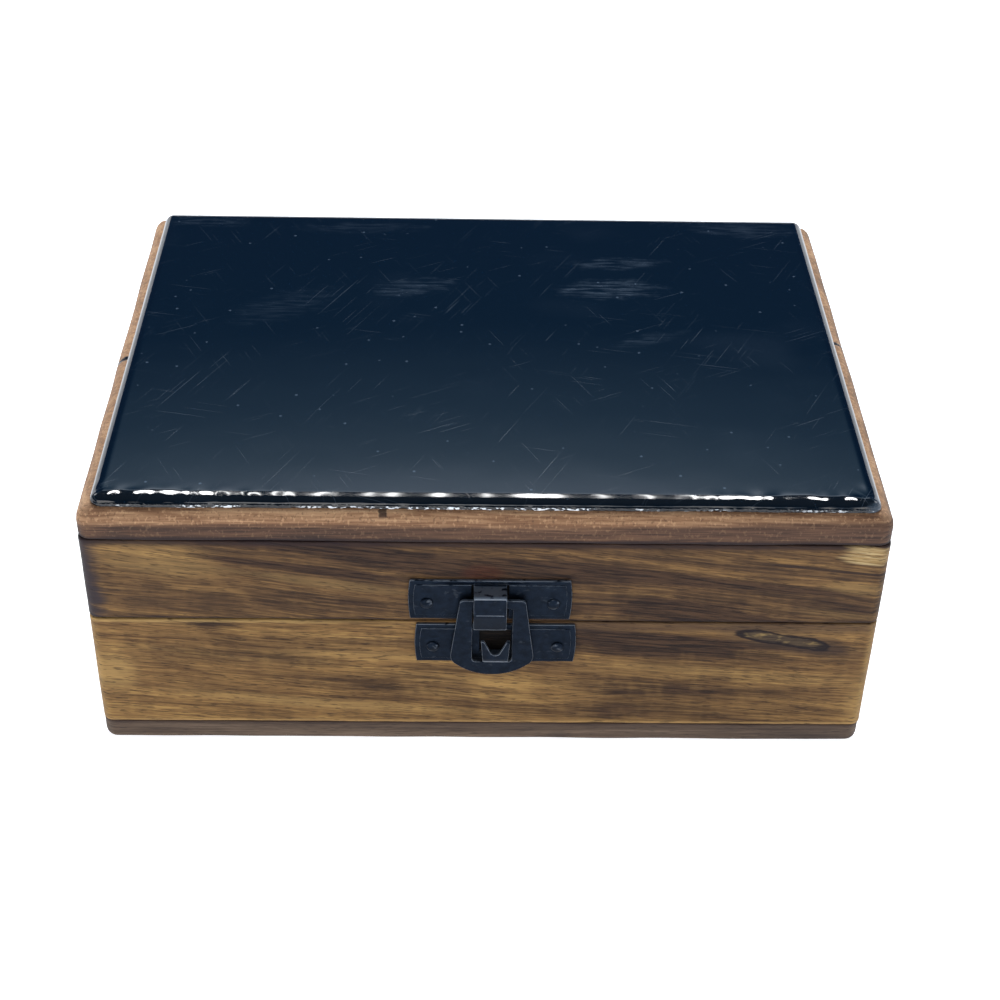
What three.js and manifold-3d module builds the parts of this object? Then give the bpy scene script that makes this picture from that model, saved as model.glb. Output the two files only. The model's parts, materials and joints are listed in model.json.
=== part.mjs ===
// A small hinged wooden box for cards: glued boards, a black poured lacquer top, two nailed
// butt hinges at the back and a nailed hasp latch at the front.
//
// Millimetres. +X runs to the right of someone who faces the latch, +Y to the back, +Z up.
// The origin is the centre of the flat underside.

import * as THREE from 'three';
import { mergeVertices } from 'three/addons/utils/BufferGeometryUtils.js';
import Module from 'manifold-3d';

const wasm = await Module();
wasm.setup();

// ---------------------------------------------------------------- driving dimensions

const boxWidth = 150;
const boxDepth = 112;

const bottomThickness = 4.8;
const wallThickness = 7;
const baseWallHeight = 26.3;
const lidRailHeight = 18.6;
const lidBoardThickness = 6.2;
const lacquerThickness = 1.9;

const glueLine = 0.1; // between two boards, and under a plate that lies on wood
const lidGap = 0.3; // between the closed lid and the base
const plankGap = 0.3; // the filled joint between the two planks of the lid board
const plankSkewDegrees = 3.3; // the joint isn't quite square to the sides

const wallCornerRounding = 2;
const bottomEdgeRounding = 1.6;
const lidEdgeRounding = 2.8;
const lacquerEdgeWidth = 2.6;
const lacquerRim = 0.2; // the upright part of the lacquer's edge, below its rounding
const cornerExtraRounding = 0.9; // a board's corner is this much rounder than its edge
const lacquerFrontInset = 1.8;
const lacquerBackInset = 1.4;
const lacquerSideInset = 2.6;

const nailShankRadius = 0.5;
const nailLength = 5.4;
const nailPointLength = 1.1;
const nailHeadRadius = 1.2;
const nailHeadHeight = 0.5;
const nailHoleClearance = 0.2;

const hingeInset = 20; // from the side of the box to the hinge
const hingeWidth = 18;
const hingeLeafHeight = 8.6;
const hingeSheet = 0.8;
const hingePinRadius = 0.7;
const hingePinClearance = 0.1;
const hingePinStandOut = 0.4;
const hingeMiddleKnuckle = 7.4;
const hingeKnuckleGap = 0.2;
const hingeNailInset = 3.5; // from the ends of a leaf
const hingeNailEdge = 3; // from the free edge of a leaf
const hingeCurlDegrees = 275;

const latchSheet = 0.8;
const latchPlateWidth = 30.8;
const latchPlateHeight = 9.2;
const latchPlateBulge = 0.7;
const latchNailInset = 3.5; // from the ends of a latch plate
const latchNailRise = 3.9;
const haspPlateX = 0.85; // the plates were nailed on by hand, so none is quite central
const haspPlateRise = 1.1; // above the underside of the lid
const catchPlateX = 2.0;
const catchPlateDrop = 0.1; // below the top edge of the base

const hookWidth = 6.2;
const hookClearance = 0.24; // between the hook and the bar that turns in it
const hookTopDrop = 1.1; // below the top edge of the plate
const hookCreaseDrop = 5.9;
const hookLean = 0.6; // how far the lower half of the hook leans back
const hookReturn = 1.3; // how near the wood its tucked end comes
const hookSlit = 0.45; // each side of the hook, where it was cut out of the plate

const flapSheet = 0.7;
const flapX = 1.35; // the flap has slid sideways on its loose hook
const flapBarHeight = 1.9;
const flapBarClearance = 0.19;
const flapAxisDrop = 4.4; // below the top edge of the hasp plate
const flapTopLeg = 2.5; // how wide the flap is beside its slot, at its top, hips and toe
const flapHipLeg = 4.1;
const flapToeLeg = 3.2;
const flapHipRise = 4.9; // above the lowest point of the flap
const flapToeRise = 2.7;
const flapRim = 3.25;
const flapSlotSideClearance = 0.2;
const flapCornerRounding = 1.2;

const catchWidth = 5.5;
const catchFlapGap = 0.35; // between the closed flap and the catch in front of it
const catchHeight = 5.6;
const catchLean = 0.35;
const catchNotchDepth = 4;
const catchRootRise = 1.7; // above the lower edge of the catch plate
const catchRimClearance = 0.3; // between the catch and the flap that swings past it
const catchWindowMargin = 0.3;
const catchWindowTop = 1.1; // the strip of plate left above the window

const arcSteps = 5;
const roundSteps = 16;
const pinSteps = 24;
const quarterRoundPull = 0.5523; // makes a cubic curve follow a quarter circle

// ---------------------------------------------------------------- derived levels and faces

const frontFace = -boxDepth / 2;
const backFace = boxDepth / 2;
const baseWallBottom = bottomThickness + glueLine;
const baseTop = baseWallBottom + baseWallHeight;
const lidBottom = baseTop + lidGap;
const lidRailTop = lidBottom + lidRailHeight;
const lidBoardBottom = lidRailTop + glueLine;
const lidBoardTop = lidBoardBottom + lidBoardThickness;
const lacquerBottom = lidBoardTop + glueLine;

const bottomCornerRounding = bottomEdgeRounding + cornerExtraRounding;
const lidCornerRounding = lidEdgeRounding + cornerExtraRounding;
const lacquerCornerRounding = lacquerEdgeWidth + cornerExtraRounding;
const lacquerEdgeHeight = lacquerThickness - lacquerRim;

const hingeX = boxWidth / 2 - hingeInset - hingeWidth / 2;
const hingeNailX = hingeWidth / 2 - hingeNailInset;
const hingePinHole = hingePinRadius + hingePinClearance;
const hingeCurlRadius = hingePinHole + hingeSheet / 2;
const hingeAxis = new THREE.Vector3(
  0,
  backFace + glueLine + hingeSheet / 2 + hingeCurlRadius,
  baseTop + lidGap / 2,
);

const haspPlateBottom = lidBottom + haspPlateRise;
const haspPlateTop = haspPlateBottom + latchPlateHeight;
const catchPlateTop = baseTop - catchPlateDrop;
const catchPlateBottom = catchPlateTop - latchPlateHeight;
const plateFront = glueLine + latchSheet; // measured out from the wood, as all below
const latchNailX = latchPlateWidth / 2 - latchNailInset;
const flapBarReach = Math.hypot(flapBarHeight, flapSheet) / 2;
const flapOut = plateFront + flapBarReach + flapBarClearance;
const hookOut = flapOut + flapBarReach + hookClearance + latchSheet;
const catchOut = flapOut + flapSheet / 2 + catchFlapGap + latchSheet;
const hookSide = Math.abs(haspPlateX - flapX) + hookWidth / 2;
const catchSide = Math.abs(catchPlateX - flapX) + catchWidth / 2;
const flapSlotX = Math.max(hookSide, catchSide) + flapSlotSideClearance;
const flapAxis = new THREE.Vector3(flapX, frontFace - flapOut, haspPlateTop - flapAxisDrop);
const catchBottom = catchPlateBottom + catchRootRise;
const catchReach = Math.hypot(flapAxis.z - catchBottom, catchOut - flapOut);
const flapSlotDrop = catchReach + catchRimClearance;

// ---------------------------------------------------------------- finishes

const finishes = {
  torchedWood: { color: 0x7a5a38, roughness: 0.55, metalness: 0 },
  lidWood: { color: 0x7b563c, roughness: 0.6, metalness: 0 },
  bottomWood: { color: 0x4a3c33, roughness: 0.65, metalness: 0 },
  lacquer: { color: 0x060b12, roughness: 0.08, metalness: 0 },
  blackSteel: { color: 0x1a212b, roughness: 0.4, metalness: 0.8 },
};

// ---------------------------------------------------------------- solids and shapes

// Turns a closed geometry into a solid that can be joined and cut.
function toSolid(geometry) {
  const bare = geometry.clone();
  bare.deleteAttribute('normal');
  bare.deleteAttribute('uv');
  const merged = mergeVertices(bare);
  return new wasm.Manifold(new wasm.Mesh({
    numProp: 3,
    vertProperties: new Float32Array(merged.attributes.position.array),
    triVerts: new Uint32Array(merged.index.array),
  }));
}

function toGeometry(solid) {
  const { vertProperties, triVerts } = solid.getMesh();
  const geometry = new THREE.BufferGeometry();
  geometry.setAttribute('position', new THREE.BufferAttribute(vertProperties, 3));
  geometry.setIndex(new THREE.BufferAttribute(triVerts, 1));
  geometry.computeVertexNormals();
  return geometry;
}

function block(low, high) {
  const size = high.clone().sub(low);
  const centre = low.clone().add(high).multiplyScalar(0.5);
  const geometry = new THREE.BoxGeometry(size.x, size.y, size.z);
  return toSolid(geometry.translate(centre.x, centre.y, centre.z));
}

// A closed outline through the corners, each given as x, y and how far from it the rounding starts.
function roundedOutline(corners) {
  const shape = new THREE.Shape();
  corners.forEach(([x, y, rounding], index) => {
    const corner = new THREE.Vector2(x, y);
    const near = [corners.at(index - 1), corners.at((index + 1) % corners.length)].map((other) => {
      const along = new THREE.Vector2(other[0], other[1]).sub(corner).setLength(rounding);
      return along.add(corner);
    });
    if (index === 0) shape.moveTo(near[0].x, near[0].y);
    else shape.lineTo(near[0].x, near[0].y);
    if (rounding > 0) {
      const [first, second] = near.map((end) => end.clone().lerp(corner, quarterRoundPull));
      shape.bezierCurveTo(first.x, first.y, second.x, second.y, near[1].x, near[1].y);
    }
  });
  shape.closePath();
  return shape;
}

function rectangle(width, depth, rounding) {
  const x = width / 2;
  const y = depth / 2;
  return roundedOutline([[-x, -y, rounding], [x, -y, rounding], [x, y, rounding], [-x, y, rounding]]);
}

function extrude(shape, depth, bevel = {}) {
  return new THREE.ExtrudeGeometry(shape, {
    depth,
    bevelEnabled: false,
    curveSegments: arcSteps,
    ...bevel,
  });
}

// A board whose upper or lower edges are rounded all the way around, standing on z = 0.
function softBoard(outline, thickness, edgeWidth, edgeHeight, roundedSide) {
  const bevel = {
    bevelEnabled: true,
    bevelSize: edgeWidth,
    bevelOffset: -edgeWidth,
    bevelThickness: edgeHeight,
    bevelSegments: arcSteps,
  };
  const straight = thickness - edgeHeight;
  const geometry = extrude(outline, straight, bevel);
  const far = boxWidth + boxDepth;
  if (roundedSide === 'top') {
    const lower = block(new THREE.Vector3(-far, -far, -thickness), new THREE.Vector3(far, far, 0));
    return toSolid(geometry).subtract(lower);
  }
  geometry.translate(0, 0, edgeHeight);
  const top = new THREE.Vector3(-far, -far, thickness);
  return toSolid(geometry).subtract(block(top, new THREE.Vector3(far, far, 2 * thickness)));
}

// Rounds the inner corners of a path with arcs of the given radius.
function bend(corners, radius) {
  const points = [corners[0]];
  for (let i = 1; i < corners.length - 1; i += 1) {
    const corner = corners[i];
    const before = corners[i - 1].clone().sub(corner).normalize();
    const after = corners[i + 1].clone().sub(corner).normalize();
    const half = Math.acos(before.dot(after)) / 2;
    const reach = radius / Math.tan(half);
    const start = corner.clone().addScaledVector(before, reach);
    const end = corner.clone().addScaledVector(after, reach);
    const curve = new THREE.QuadraticBezierCurve(start, corner, end);
    points.push(...curve.getPoints(arcSteps - 1));
  }
  points.push(corners.at(-1));
  return points;
}

// The outline of a strip of sheet that follows a path of points at its mid thickness.
function stripOutline(path, sheet) {
  const sides = path.map((point, index) => {
    const before = index === 0 ? null : point.clone().sub(path[index - 1]).normalize();
    const after = index === path.length - 1 ? null : path[index + 1].clone().sub(point).normalize();
    const along = (before ?? after).clone().add(after ?? before).normalize();
    const stretch = sheet / 2 / along.dot(before ?? after);
    return new THREE.Vector2(-along.y, along.x).multiplyScalar(stretch);
  });
  const left = path.map((point, index) => point.clone().add(sides[index]));
  const right = path.map((point, index) => point.clone().sub(sides[index]));
  return new THREE.Shape([...left, ...right.reverse()]);
}

// Sheet bent along a path in the plane of out and up, as wide as asked along X and centred on x = 0.
// outward is -1 for the front of the box and +1 for the back.
function bentStrip(path, sheet, width, outward) {
  const geometry = extrude(stripOutline(path, sheet), width);
  geometry.translate(0, 0, -width / 2);
  const out = new THREE.Vector3(0, outward, 0);
  const up = new THREE.Vector3(0, 0, 1);
  const across = new THREE.Vector3(outward, 0, 0);
  return toSolid(geometry.applyMatrix4(new THREE.Matrix4().makeBasis(out, up, across)));
}

// Stands a flat outline, drawn as x and height, against the front face. Its back is at y = 0.
function frontPlate(outline, sheet) {
  return toSolid(extrude(outline, sheet).rotateX(Math.PI / 2));
}

// A straight hole along Y, longer than a nail to both sides of its centre.
function nailHole(centre) {
  const radius = nailShankRadius + nailHoleClearance;
  const length = 2 * nailLength;
  const geometry = new THREE.CylinderGeometry(radius, radius, length, roundSteps);
  return toSolid(geometry.translate(centre.x, centre.y, centre.z));
}

// The blind hole that a nail leaves in the wood, from the wood's face inwards.
function pilotHole(nail) {
  const radius = nailShankRadius + nailHoleClearance;
  const depth = nailLength + nailHoleClearance;
  const geometry = new THREE.CylinderGeometry(radius, radius, 2 * depth, roundSteps);
  const face = nail.outward * backFace;
  return toSolid(geometry.translate(nail.x, face, nail.z));
}

// ---------------------------------------------------------------- the scene graph

const box = new THREE.Group();
const lid = new THREE.Group();
const flapPivot = new THREE.Group();
lid.position.copy(hingeAxis);
flapPivot.position.copy(flapAxis).sub(hingeAxis);
box.add(lid);
lid.add(flapPivot);

// Adds a solid as a named mesh, with its own origin at the given place in the box.
function addPart(group, name, solid, place, finish) {
  const material = new THREE.MeshStandardMaterial({ ...finish, name: `${name}_finish` });
  const mesh = new THREE.Mesh(toGeometry(solid), material);
  mesh.name = name;
  mesh.position.copy(group.worldToLocal(place.clone()));
  group.add(mesh);
  return mesh;
}

// ---------------------------------------------------------------- where the nails go

function hingeNails(side, middle, leaf) {
  const along = hingeLeafHeight - hingeNailEdge;
  return [-1, 1].map((hand) => ({
    name: `hinge_${side}_${leaf}_nail_${hand < 0 ? 'left' : 'right'}`,
    owner: leaf,
    outward: 1,
    x: middle + hand * hingeNailX,
    z: hingeAxis.z + (leaf === 'lid' ? along : -along),
    sheet: hingeSheet,
  }));
}

function latchNails(plate, plateX, plateBottom, owner) {
  return [-1, 1].map((hand) => ({
    name: `${plate}_nail_${hand < 0 ? 'left' : 'right'}`,
    owner,
    outward: -1,
    x: plateX + hand * latchNailX,
    z: plateBottom + latchNailRise,
    sheet: latchSheet,
  }));
}

const hinges = [
  { side: 'left', x: -hingeX },
  { side: 'right', x: hingeX },
];

const nails = [
  ...hinges.flatMap(({ side, x }) => [...hingeNails(side, x, 'base'), ...hingeNails(side, x, 'lid')]),
  ...latchNails('hasp_plate', haspPlateX, haspPlateBottom, 'lid'),
  ...latchNails('catch_plate', catchPlateX, catchPlateBottom, 'base'),
];

// ---------------------------------------------------------------- boards

// A front or back board, as long as the box is wide, with its two outer corners rounded.
function longBoard(group, name, outward, bottom, height, owner) {
  const x = boxWidth / 2;
  const inner = -outward * wallThickness;
  const outline = roundedOutline([
    [-x, 0, wallCornerRounding],
    [x, 0, wallCornerRounding],
    [x, inner, 0],
    [-x, inner, 0],
  ]);
  const face = outward * backFace;
  let solid = toSolid(extrude(outline, height)).translate([0, face, bottom]);
  nails
    .filter((nail) => nail.owner === owner && nail.outward === outward)
    .forEach((nail) => { solid = solid.subtract(pilotHole(nail)); });
  const place = new THREE.Vector3(0, face, bottom);
  const local = solid.translate([-place.x, -place.y, -place.z]);
  addPart(group, name, local, place, finishes.torchedWood);
}

// A side board, which butts between the front and the back boards.
function shortBoard(group, name, side, bottom, height) {
  const length = boxDepth - 2 * (wallThickness + glueLine);
  const solid = toSolid(new THREE.BoxGeometry(wallThickness, length, height));
  const x = side * (boxWidth - wallThickness) / 2;
  const place = new THREE.Vector3(x, 0, bottom + height / 2);
  addPart(group, name, solid, place, finishes.torchedWood);
}

function wallFrame(group, owner, suffix, bottom, height) {
  longBoard(group, `${owner}_front_${suffix}`, -1, bottom, height, owner);
  longBoard(group, `${owner}_back_${suffix}`, 1, bottom, height, owner);
  shortBoard(group, `${owner}_left_${suffix}`, -1, bottom, height);
  shortBoard(group, `${owner}_right_${suffix}`, 1, bottom, height);
}

function bottomBoard() {
  const outline = rectangle(boxWidth, boxDepth, bottomCornerRounding);
  const rounding = bottomEdgeRounding;
  const solid = softBoard(outline, bottomThickness, rounding, rounding, 'bottom');
  addPart(box, 'bottom_board', solid, new THREE.Vector3(0, 0, 0), finishes.bottomWood);
}

// The lid board is two planks, edge to edge. A turned block cuts the narrow joint between them.
function lidPlanks() {
  const outline = rectangle(boxWidth, boxDepth, lidCornerRounding);
  const rounding = lidEdgeRounding;
  const board = softBoard(outline, lidBoardThickness, rounding, rounding, 'top');
  const place = new THREE.Vector3(0, 0, lidBoardBottom);
  [['lid_board_front', -1], ['lid_board_rear', 1]].forEach(([name, side]) => {
    const half = new THREE.BoxGeometry(2 * boxWidth, boxDepth, 4 * lidBoardThickness);
    half.translate(0, side * (boxDepth + plankGap) / 2, 0);
    half.rotateZ(THREE.MathUtils.degToRad(plankSkewDegrees));
    addPart(lid, name, board.intersect(toSolid(half)), place, finishes.lidWood);
  });
}

function lacquerTop() {
  const width = boxWidth - 2 * lacquerSideInset;
  const depth = boxDepth - lacquerFrontInset - lacquerBackInset;
  const outline = rectangle(width, depth, lacquerCornerRounding);
  const solid = softBoard(outline, lacquerThickness, lacquerEdgeWidth, lacquerEdgeHeight, 'top');
  const y = (lacquerFrontInset - lacquerBackInset) / 2;
  addPart(lid, 'lacquer_top', solid, new THREE.Vector3(0, y, lacquerBottom), finishes.lacquer);
}

// ---------------------------------------------------------------- hinges

// One leaf: flat sheet that ends in a curl around the pin. up is +1 on the lid and -1 on the base.
function hingeLeaf(group, side, x, leaf) {
  const up = leaf === 'lid' ? 1 : -1;
  const path = [new THREE.Vector2(-hingeCurlRadius, up * hingeLeafHeight)];
  const curl = THREE.MathUtils.degToRad(hingeCurlDegrees);
  for (let step = 0; step <= pinSteps; step += 1) {
    const angle = Math.PI + up * curl * step / pinSteps;
    path.push(new THREE.Vector2(Math.cos(angle), Math.sin(angle)).multiplyScalar(hingeCurlRadius));
  }
  let solid = bentStrip(path, hingeSheet, hingeWidth, 1);
  nails
    .filter((nail) => nail.name.startsWith(`hinge_${side}_${leaf}_`))
    .forEach((nail) => {
      const centre = new THREE.Vector3(nail.x - x, 0, nail.z - hingeAxis.z);
      solid = solid.subtract(nailHole(centre));
    });
  const reach = hingeCurlRadius + hingeSheet / 2 + hingeKnuckleGap;
  const middle = hingeMiddleKnuckle / 2;
  const ranges = leaf === 'base'
    ? [[-middle - hingeKnuckleGap, middle + hingeKnuckleGap]]
    : [[-hingeWidth, -middle], [middle, hingeWidth]];
  ranges.forEach(([from, to]) => {
    const ends = [-up * 2 * reach, up * reach];
    const low = new THREE.Vector3(from, -2 * reach, Math.min(...ends));
    const high = new THREE.Vector3(to, 2 * reach, Math.max(...ends));
    solid = solid.subtract(block(low, high));
  });
  const place = new THREE.Vector3(x, hingeAxis.y, hingeAxis.z);
  addPart(group, `hinge_${side}_${leaf}_leaf`, solid, place, finishes.blackSteel);
}

function hingePin(side, x) {
  const half = hingeWidth / 2 + hingePinStandOut;
  const shoulder = hingePinRadius * 0.75;
  const profile = [
    [0, -half],
    [shoulder, -half],
    [hingePinRadius, -half + hingePinRadius - shoulder],
    [hingePinRadius, half - hingePinRadius + shoulder],
    [shoulder, half],
    [0, half],
  ].map(([radius, along]) => new THREE.Vector2(radius, along));
  const solid = toSolid(new THREE.LatheGeometry(profile, pinSteps));
  const place = new THREE.Vector3(x, hingeAxis.y, hingeAxis.z);
  const pin = addPart(box, `hinge_${side}_pin`, solid, place, finishes.blackSteel);
  pin.rotation.z = Math.PI / 2;
}

// ---------------------------------------------------------------- latch

// A latch plate: straight long edges and slightly bulging ends. It stands on height 0.
function latchPlateOutline() {
  const x = latchPlateWidth / 2;
  const shape = new THREE.Shape();
  shape.moveTo(-x + latchPlateBulge, 0);
  shape.lineTo(x - latchPlateBulge, 0);
  shape.quadraticCurveTo(x + latchPlateBulge, latchPlateHeight / 2, x - latchPlateBulge, latchPlateHeight);
  shape.lineTo(-x + latchPlateBulge, latchPlateHeight);
  shape.quadraticCurveTo(-x - latchPlateBulge, latchPlateHeight / 2, -x + latchPlateBulge, 0);
  return shape;
}

function nailedPlate() {
  let solid = frontPlate(latchPlateOutline(), latchSheet);
  [-1, 1].forEach((hand) => {
    const centre = new THREE.Vector3(hand * latchNailX, 0, latchNailRise);
    solid = solid.subtract(nailHole(centre));
  });
  return solid;
}

// The lid's plate. A tongue cut out of it bends out, down and back in, and so holds the flap's bar.
function haspPlate() {
  const mid = latchSheet / 2;
  const out = hookOut - glueLine - mid;
  const top = latchPlateHeight - hookTopDrop;
  const slot = hookWidth / 2 + hookSlit;
  const below = new THREE.Vector3(-slot, -2 * latchSheet, -1);
  const window = block(below, new THREE.Vector3(slot, latchSheet, top + hookSlit / 2));
  const path = bend([
    new THREE.Vector2(mid, latchPlateHeight - mid),
    new THREE.Vector2(mid, top - mid),
    new THREE.Vector2(out, top - mid),
    new THREE.Vector2(out, latchPlateHeight - hookCreaseDrop),
    new THREE.Vector2(out - hookLean, mid),
    new THREE.Vector2(hookReturn, mid),
  ], mid);
  const tongue = bentStrip(path, latchSheet, hookWidth, -1);
  const solid = nailedPlate().subtract(window).add(tongue);
  const place = new THREE.Vector3(haspPlateX, frontFace - glueLine, haspPlateBottom);
  addPart(lid, 'hasp_plate', solid, place, finishes.blackSteel);
}

// The flap hangs on its bar. Its outline is drawn from the bar's axis, which is its own origin.
function haspFlap() {
  const top = flapBarHeight / 2;
  const slotBottom = -flapSlotDrop;
  const low = slotBottom - flapRim;
  const hip = low + flapHipRise;
  const toe = low + flapToeRise;
  const toeX = flapSlotX + flapToeLeg;
  const hipX = flapSlotX + flapHipLeg;
  const topX = flapSlotX + flapTopLeg;
  const toeRadius = (toeX ** 2 + flapToeRise ** 2) / (2 * flapToeRise);
  const toeAngle = Math.asin(toeX / toeRadius);
  const shape = new THREE.Shape();
  shape.moveTo(-topX + flapCornerRounding, top);
  shape.lineTo(topX - flapCornerRounding, top);
  shape.quadraticCurveTo(topX, top, topX, top - flapCornerRounding);
  shape.lineTo(hipX, hip);
  shape.quadraticCurveTo(hipX, toe + flapCornerRounding / 2, toeX, toe);
  shape.absarc(0, low + toeRadius, toeRadius, -Math.PI / 2 + toeAngle, -Math.PI / 2 - toeAngle, true);
  shape.quadraticCurveTo(-hipX, toe + flapCornerRounding / 2, -hipX, hip);
  shape.lineTo(-topX, top - flapCornerRounding);
  shape.quadraticCurveTo(-topX, top, -topX + flapCornerRounding, top);
  shape.holes.push(roundedOutline([
    [-flapSlotX, slotBottom, flapSheet],
    [flapSlotX, slotBottom, flapSheet],
    [flapSlotX, -top, flapSheet],
    [-flapSlotX, -top, flapSheet],
  ]));
  const solid = frontPlate(shape, flapSheet).translate([0, flapSheet / 2, 0]);
  addPart(flapPivot, 'hasp_flap', solid, flapAxis, finishes.blackSteel);
}

// The base's plate. A tongue cut out of it bends out and up, with a V cut into its end.
function catchPlate() {
  const mid = latchSheet / 2;
  const out = catchOut - glueLine - mid;
  const tip = catchRootRise + catchHeight;
  const side = catchWidth / 2 + catchWindowMargin;
  const root = catchRootRise + latchSheet;
  const low = new THREE.Vector3(-side, -2 * latchSheet, root);
  const high = new THREE.Vector3(side, latchSheet, latchPlateHeight - catchWindowTop);
  const path = bend([
    new THREE.Vector2(mid, catchRootRise + mid),
    new THREE.Vector2(out - catchLean, catchRootRise + mid),
    new THREE.Vector2(out, tip),
  ], mid);
  const notch = roundedOutline([
    [0, tip - catchNotchDepth, 0.4],
    [catchWidth / 2 - 0.2, tip + 1, 0],
    [-catchWidth / 2 + 0.2, tip + 1, 0],
  ]);
  const notchDepth = catchOut - plateFront;
  const cutter = frontPlate(notch, notchDepth).translate([0, -plateFront, 0]);
  const tongue = bentStrip(path, latchSheet, catchWidth, -1).subtract(cutter);
  const solid = nailedPlate().subtract(block(low, high)).add(tongue);
  const place = new THREE.Vector3(catchPlateX, frontFace - glueLine, catchPlateBottom);
  addPart(box, 'catch_plate', solid, place, finishes.blackSteel);
}

// ---------------------------------------------------------------- nails

// A nail pointing along -Y, with the underside of its domed head at y = 0.
function nailSolid() {
  const dome = new THREE.QuadraticBezierCurve(
    new THREE.Vector2(nailHeadRadius, nailHeadHeight * 0.3),
    new THREE.Vector2(nailHeadRadius * 0.8, nailHeadHeight),
    new THREE.Vector2(0, nailHeadHeight),
  );
  const profile = [
    new THREE.Vector2(0, -nailLength),
    new THREE.Vector2(nailShankRadius, -nailLength + nailPointLength),
    new THREE.Vector2(nailShankRadius, 0),
    new THREE.Vector2(nailHeadRadius, 0),
    ...dome.getPoints(arcSteps - 1),
  ];
  return toSolid(new THREE.LatheGeometry(profile, roundSteps));
}

function addNail(nail) {
  const headUnderside = nail.outward * (backFace + 2 * glueLine + nail.sheet);
  const place = new THREE.Vector3(nail.x, headUnderside, nail.z);
  const group = nail.owner === 'lid' ? lid : box;
  const mesh = addPart(group, nail.name, nailSolid(), place, finishes.blackSteel);
  mesh.rotation.x = nail.outward < 0 ? Math.PI : 0;
}

// ---------------------------------------------------------------- assembly

bottomBoard();
wallFrame(box, 'base', 'wall', baseWallBottom, baseWallHeight);
wallFrame(lid, 'lid', 'rail', lidBottom, lidRailHeight);
lidPlanks();
lacquerTop();
hinges.forEach(({ side, x }) => {
  hingeLeaf(box, side, x, 'base');
  hingeLeaf(lid, side, x, 'lid');
  hingePin(side, x);
});
haspPlate();
haspFlap();
catchPlate();
nails.forEach(addNail);

export default box;
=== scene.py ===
# %% [markdown]
# # A torched wooden card box with a poured lacquer lid
#
# The real object is a small hinged box: boards glued into two trays, scorched with a flame
# and brushed, with a pool of black lacquer poured over the lid and a hasp latch nailed on
# the front. The CAD model already fixes every place and every motion. This lesson gives
# each of its pieces a finer mesh and a finish, and never moves a CAD part. The first cell
# loads the model.

import json
import math

import bmesh
import bpy
from mathutils import Matrix, Vector, noise


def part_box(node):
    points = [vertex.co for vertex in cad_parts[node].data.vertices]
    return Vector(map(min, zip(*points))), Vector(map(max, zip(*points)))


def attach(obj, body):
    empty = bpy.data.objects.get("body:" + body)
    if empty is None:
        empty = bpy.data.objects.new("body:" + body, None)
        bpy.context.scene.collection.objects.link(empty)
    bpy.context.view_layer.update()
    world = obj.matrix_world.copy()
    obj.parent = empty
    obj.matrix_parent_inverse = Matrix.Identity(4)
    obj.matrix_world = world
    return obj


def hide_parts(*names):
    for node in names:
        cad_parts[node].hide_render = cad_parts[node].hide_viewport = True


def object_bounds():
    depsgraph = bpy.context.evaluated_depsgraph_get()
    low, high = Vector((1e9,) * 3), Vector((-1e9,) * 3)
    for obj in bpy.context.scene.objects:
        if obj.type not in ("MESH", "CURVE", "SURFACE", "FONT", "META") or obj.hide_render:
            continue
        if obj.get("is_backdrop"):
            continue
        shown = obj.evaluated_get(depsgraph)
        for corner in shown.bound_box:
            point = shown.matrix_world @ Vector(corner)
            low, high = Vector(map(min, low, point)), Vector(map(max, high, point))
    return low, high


noise.seed_set(1)  # unseeded, noise vectors differ from run to run
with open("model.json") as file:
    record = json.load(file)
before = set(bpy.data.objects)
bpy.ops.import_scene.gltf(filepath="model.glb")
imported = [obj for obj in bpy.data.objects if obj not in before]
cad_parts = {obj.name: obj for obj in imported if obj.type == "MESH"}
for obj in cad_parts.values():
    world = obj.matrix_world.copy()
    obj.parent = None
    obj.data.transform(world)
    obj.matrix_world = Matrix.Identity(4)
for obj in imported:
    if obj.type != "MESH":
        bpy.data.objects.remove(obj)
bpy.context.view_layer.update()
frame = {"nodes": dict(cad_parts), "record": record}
MM = 0.001
QUARTER = math.pi / 2

# %% [markdown]
# ## Camera
#
# A camera could be dragged into place by eye, but a place, three angles and a lens length
# can be written down and repeated. The box is seen from in front and well above, close
# enough for its front to look clearly wider than its back.

# %% Camera
CAMERA_PLACE = Vector((-4.9, -321.9, 260.3)) * MM
PITCH, YAW, ROLL = (math.radians(angle) for angle in (36.96, 1.54, 1.43))

camera_data = bpy.data.cameras.new("camera")
camera_data.lens = 66.5
camera_data.sensor_width = 36
camera_data.clip_start = 0.01
camera = bpy.data.objects.new("camera", camera_data)
level = Matrix.Rotation(-YAW, 4, "Z") @ Matrix.Rotation(QUARTER - PITCH, 4, "X")
camera.matrix_world = Matrix.Translation(CAMERA_PLACE) @ level @ Matrix.Rotation(ROLL, 4, "Z")
bpy.context.scene.collection.objects.link(camera)
bpy.context.scene.camera = camera
bpy.context.scene.view_settings.view_transform = "Standard"
print("camera looks along", [round(v, 3) for v in camera.matrix_world.col[2].xyz * -1])

# %% [markdown]
# ## Shader maths as plain expressions
#
# A node tree can be wired by hand, but a long one is hard to read. This class holds one
# socket. Arithmetic on it adds Math nodes, so a mask can be written as 1 - mask * 0.5, and
# `add` makes any other node from its type, its settings and what goes into its sockets.


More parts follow.
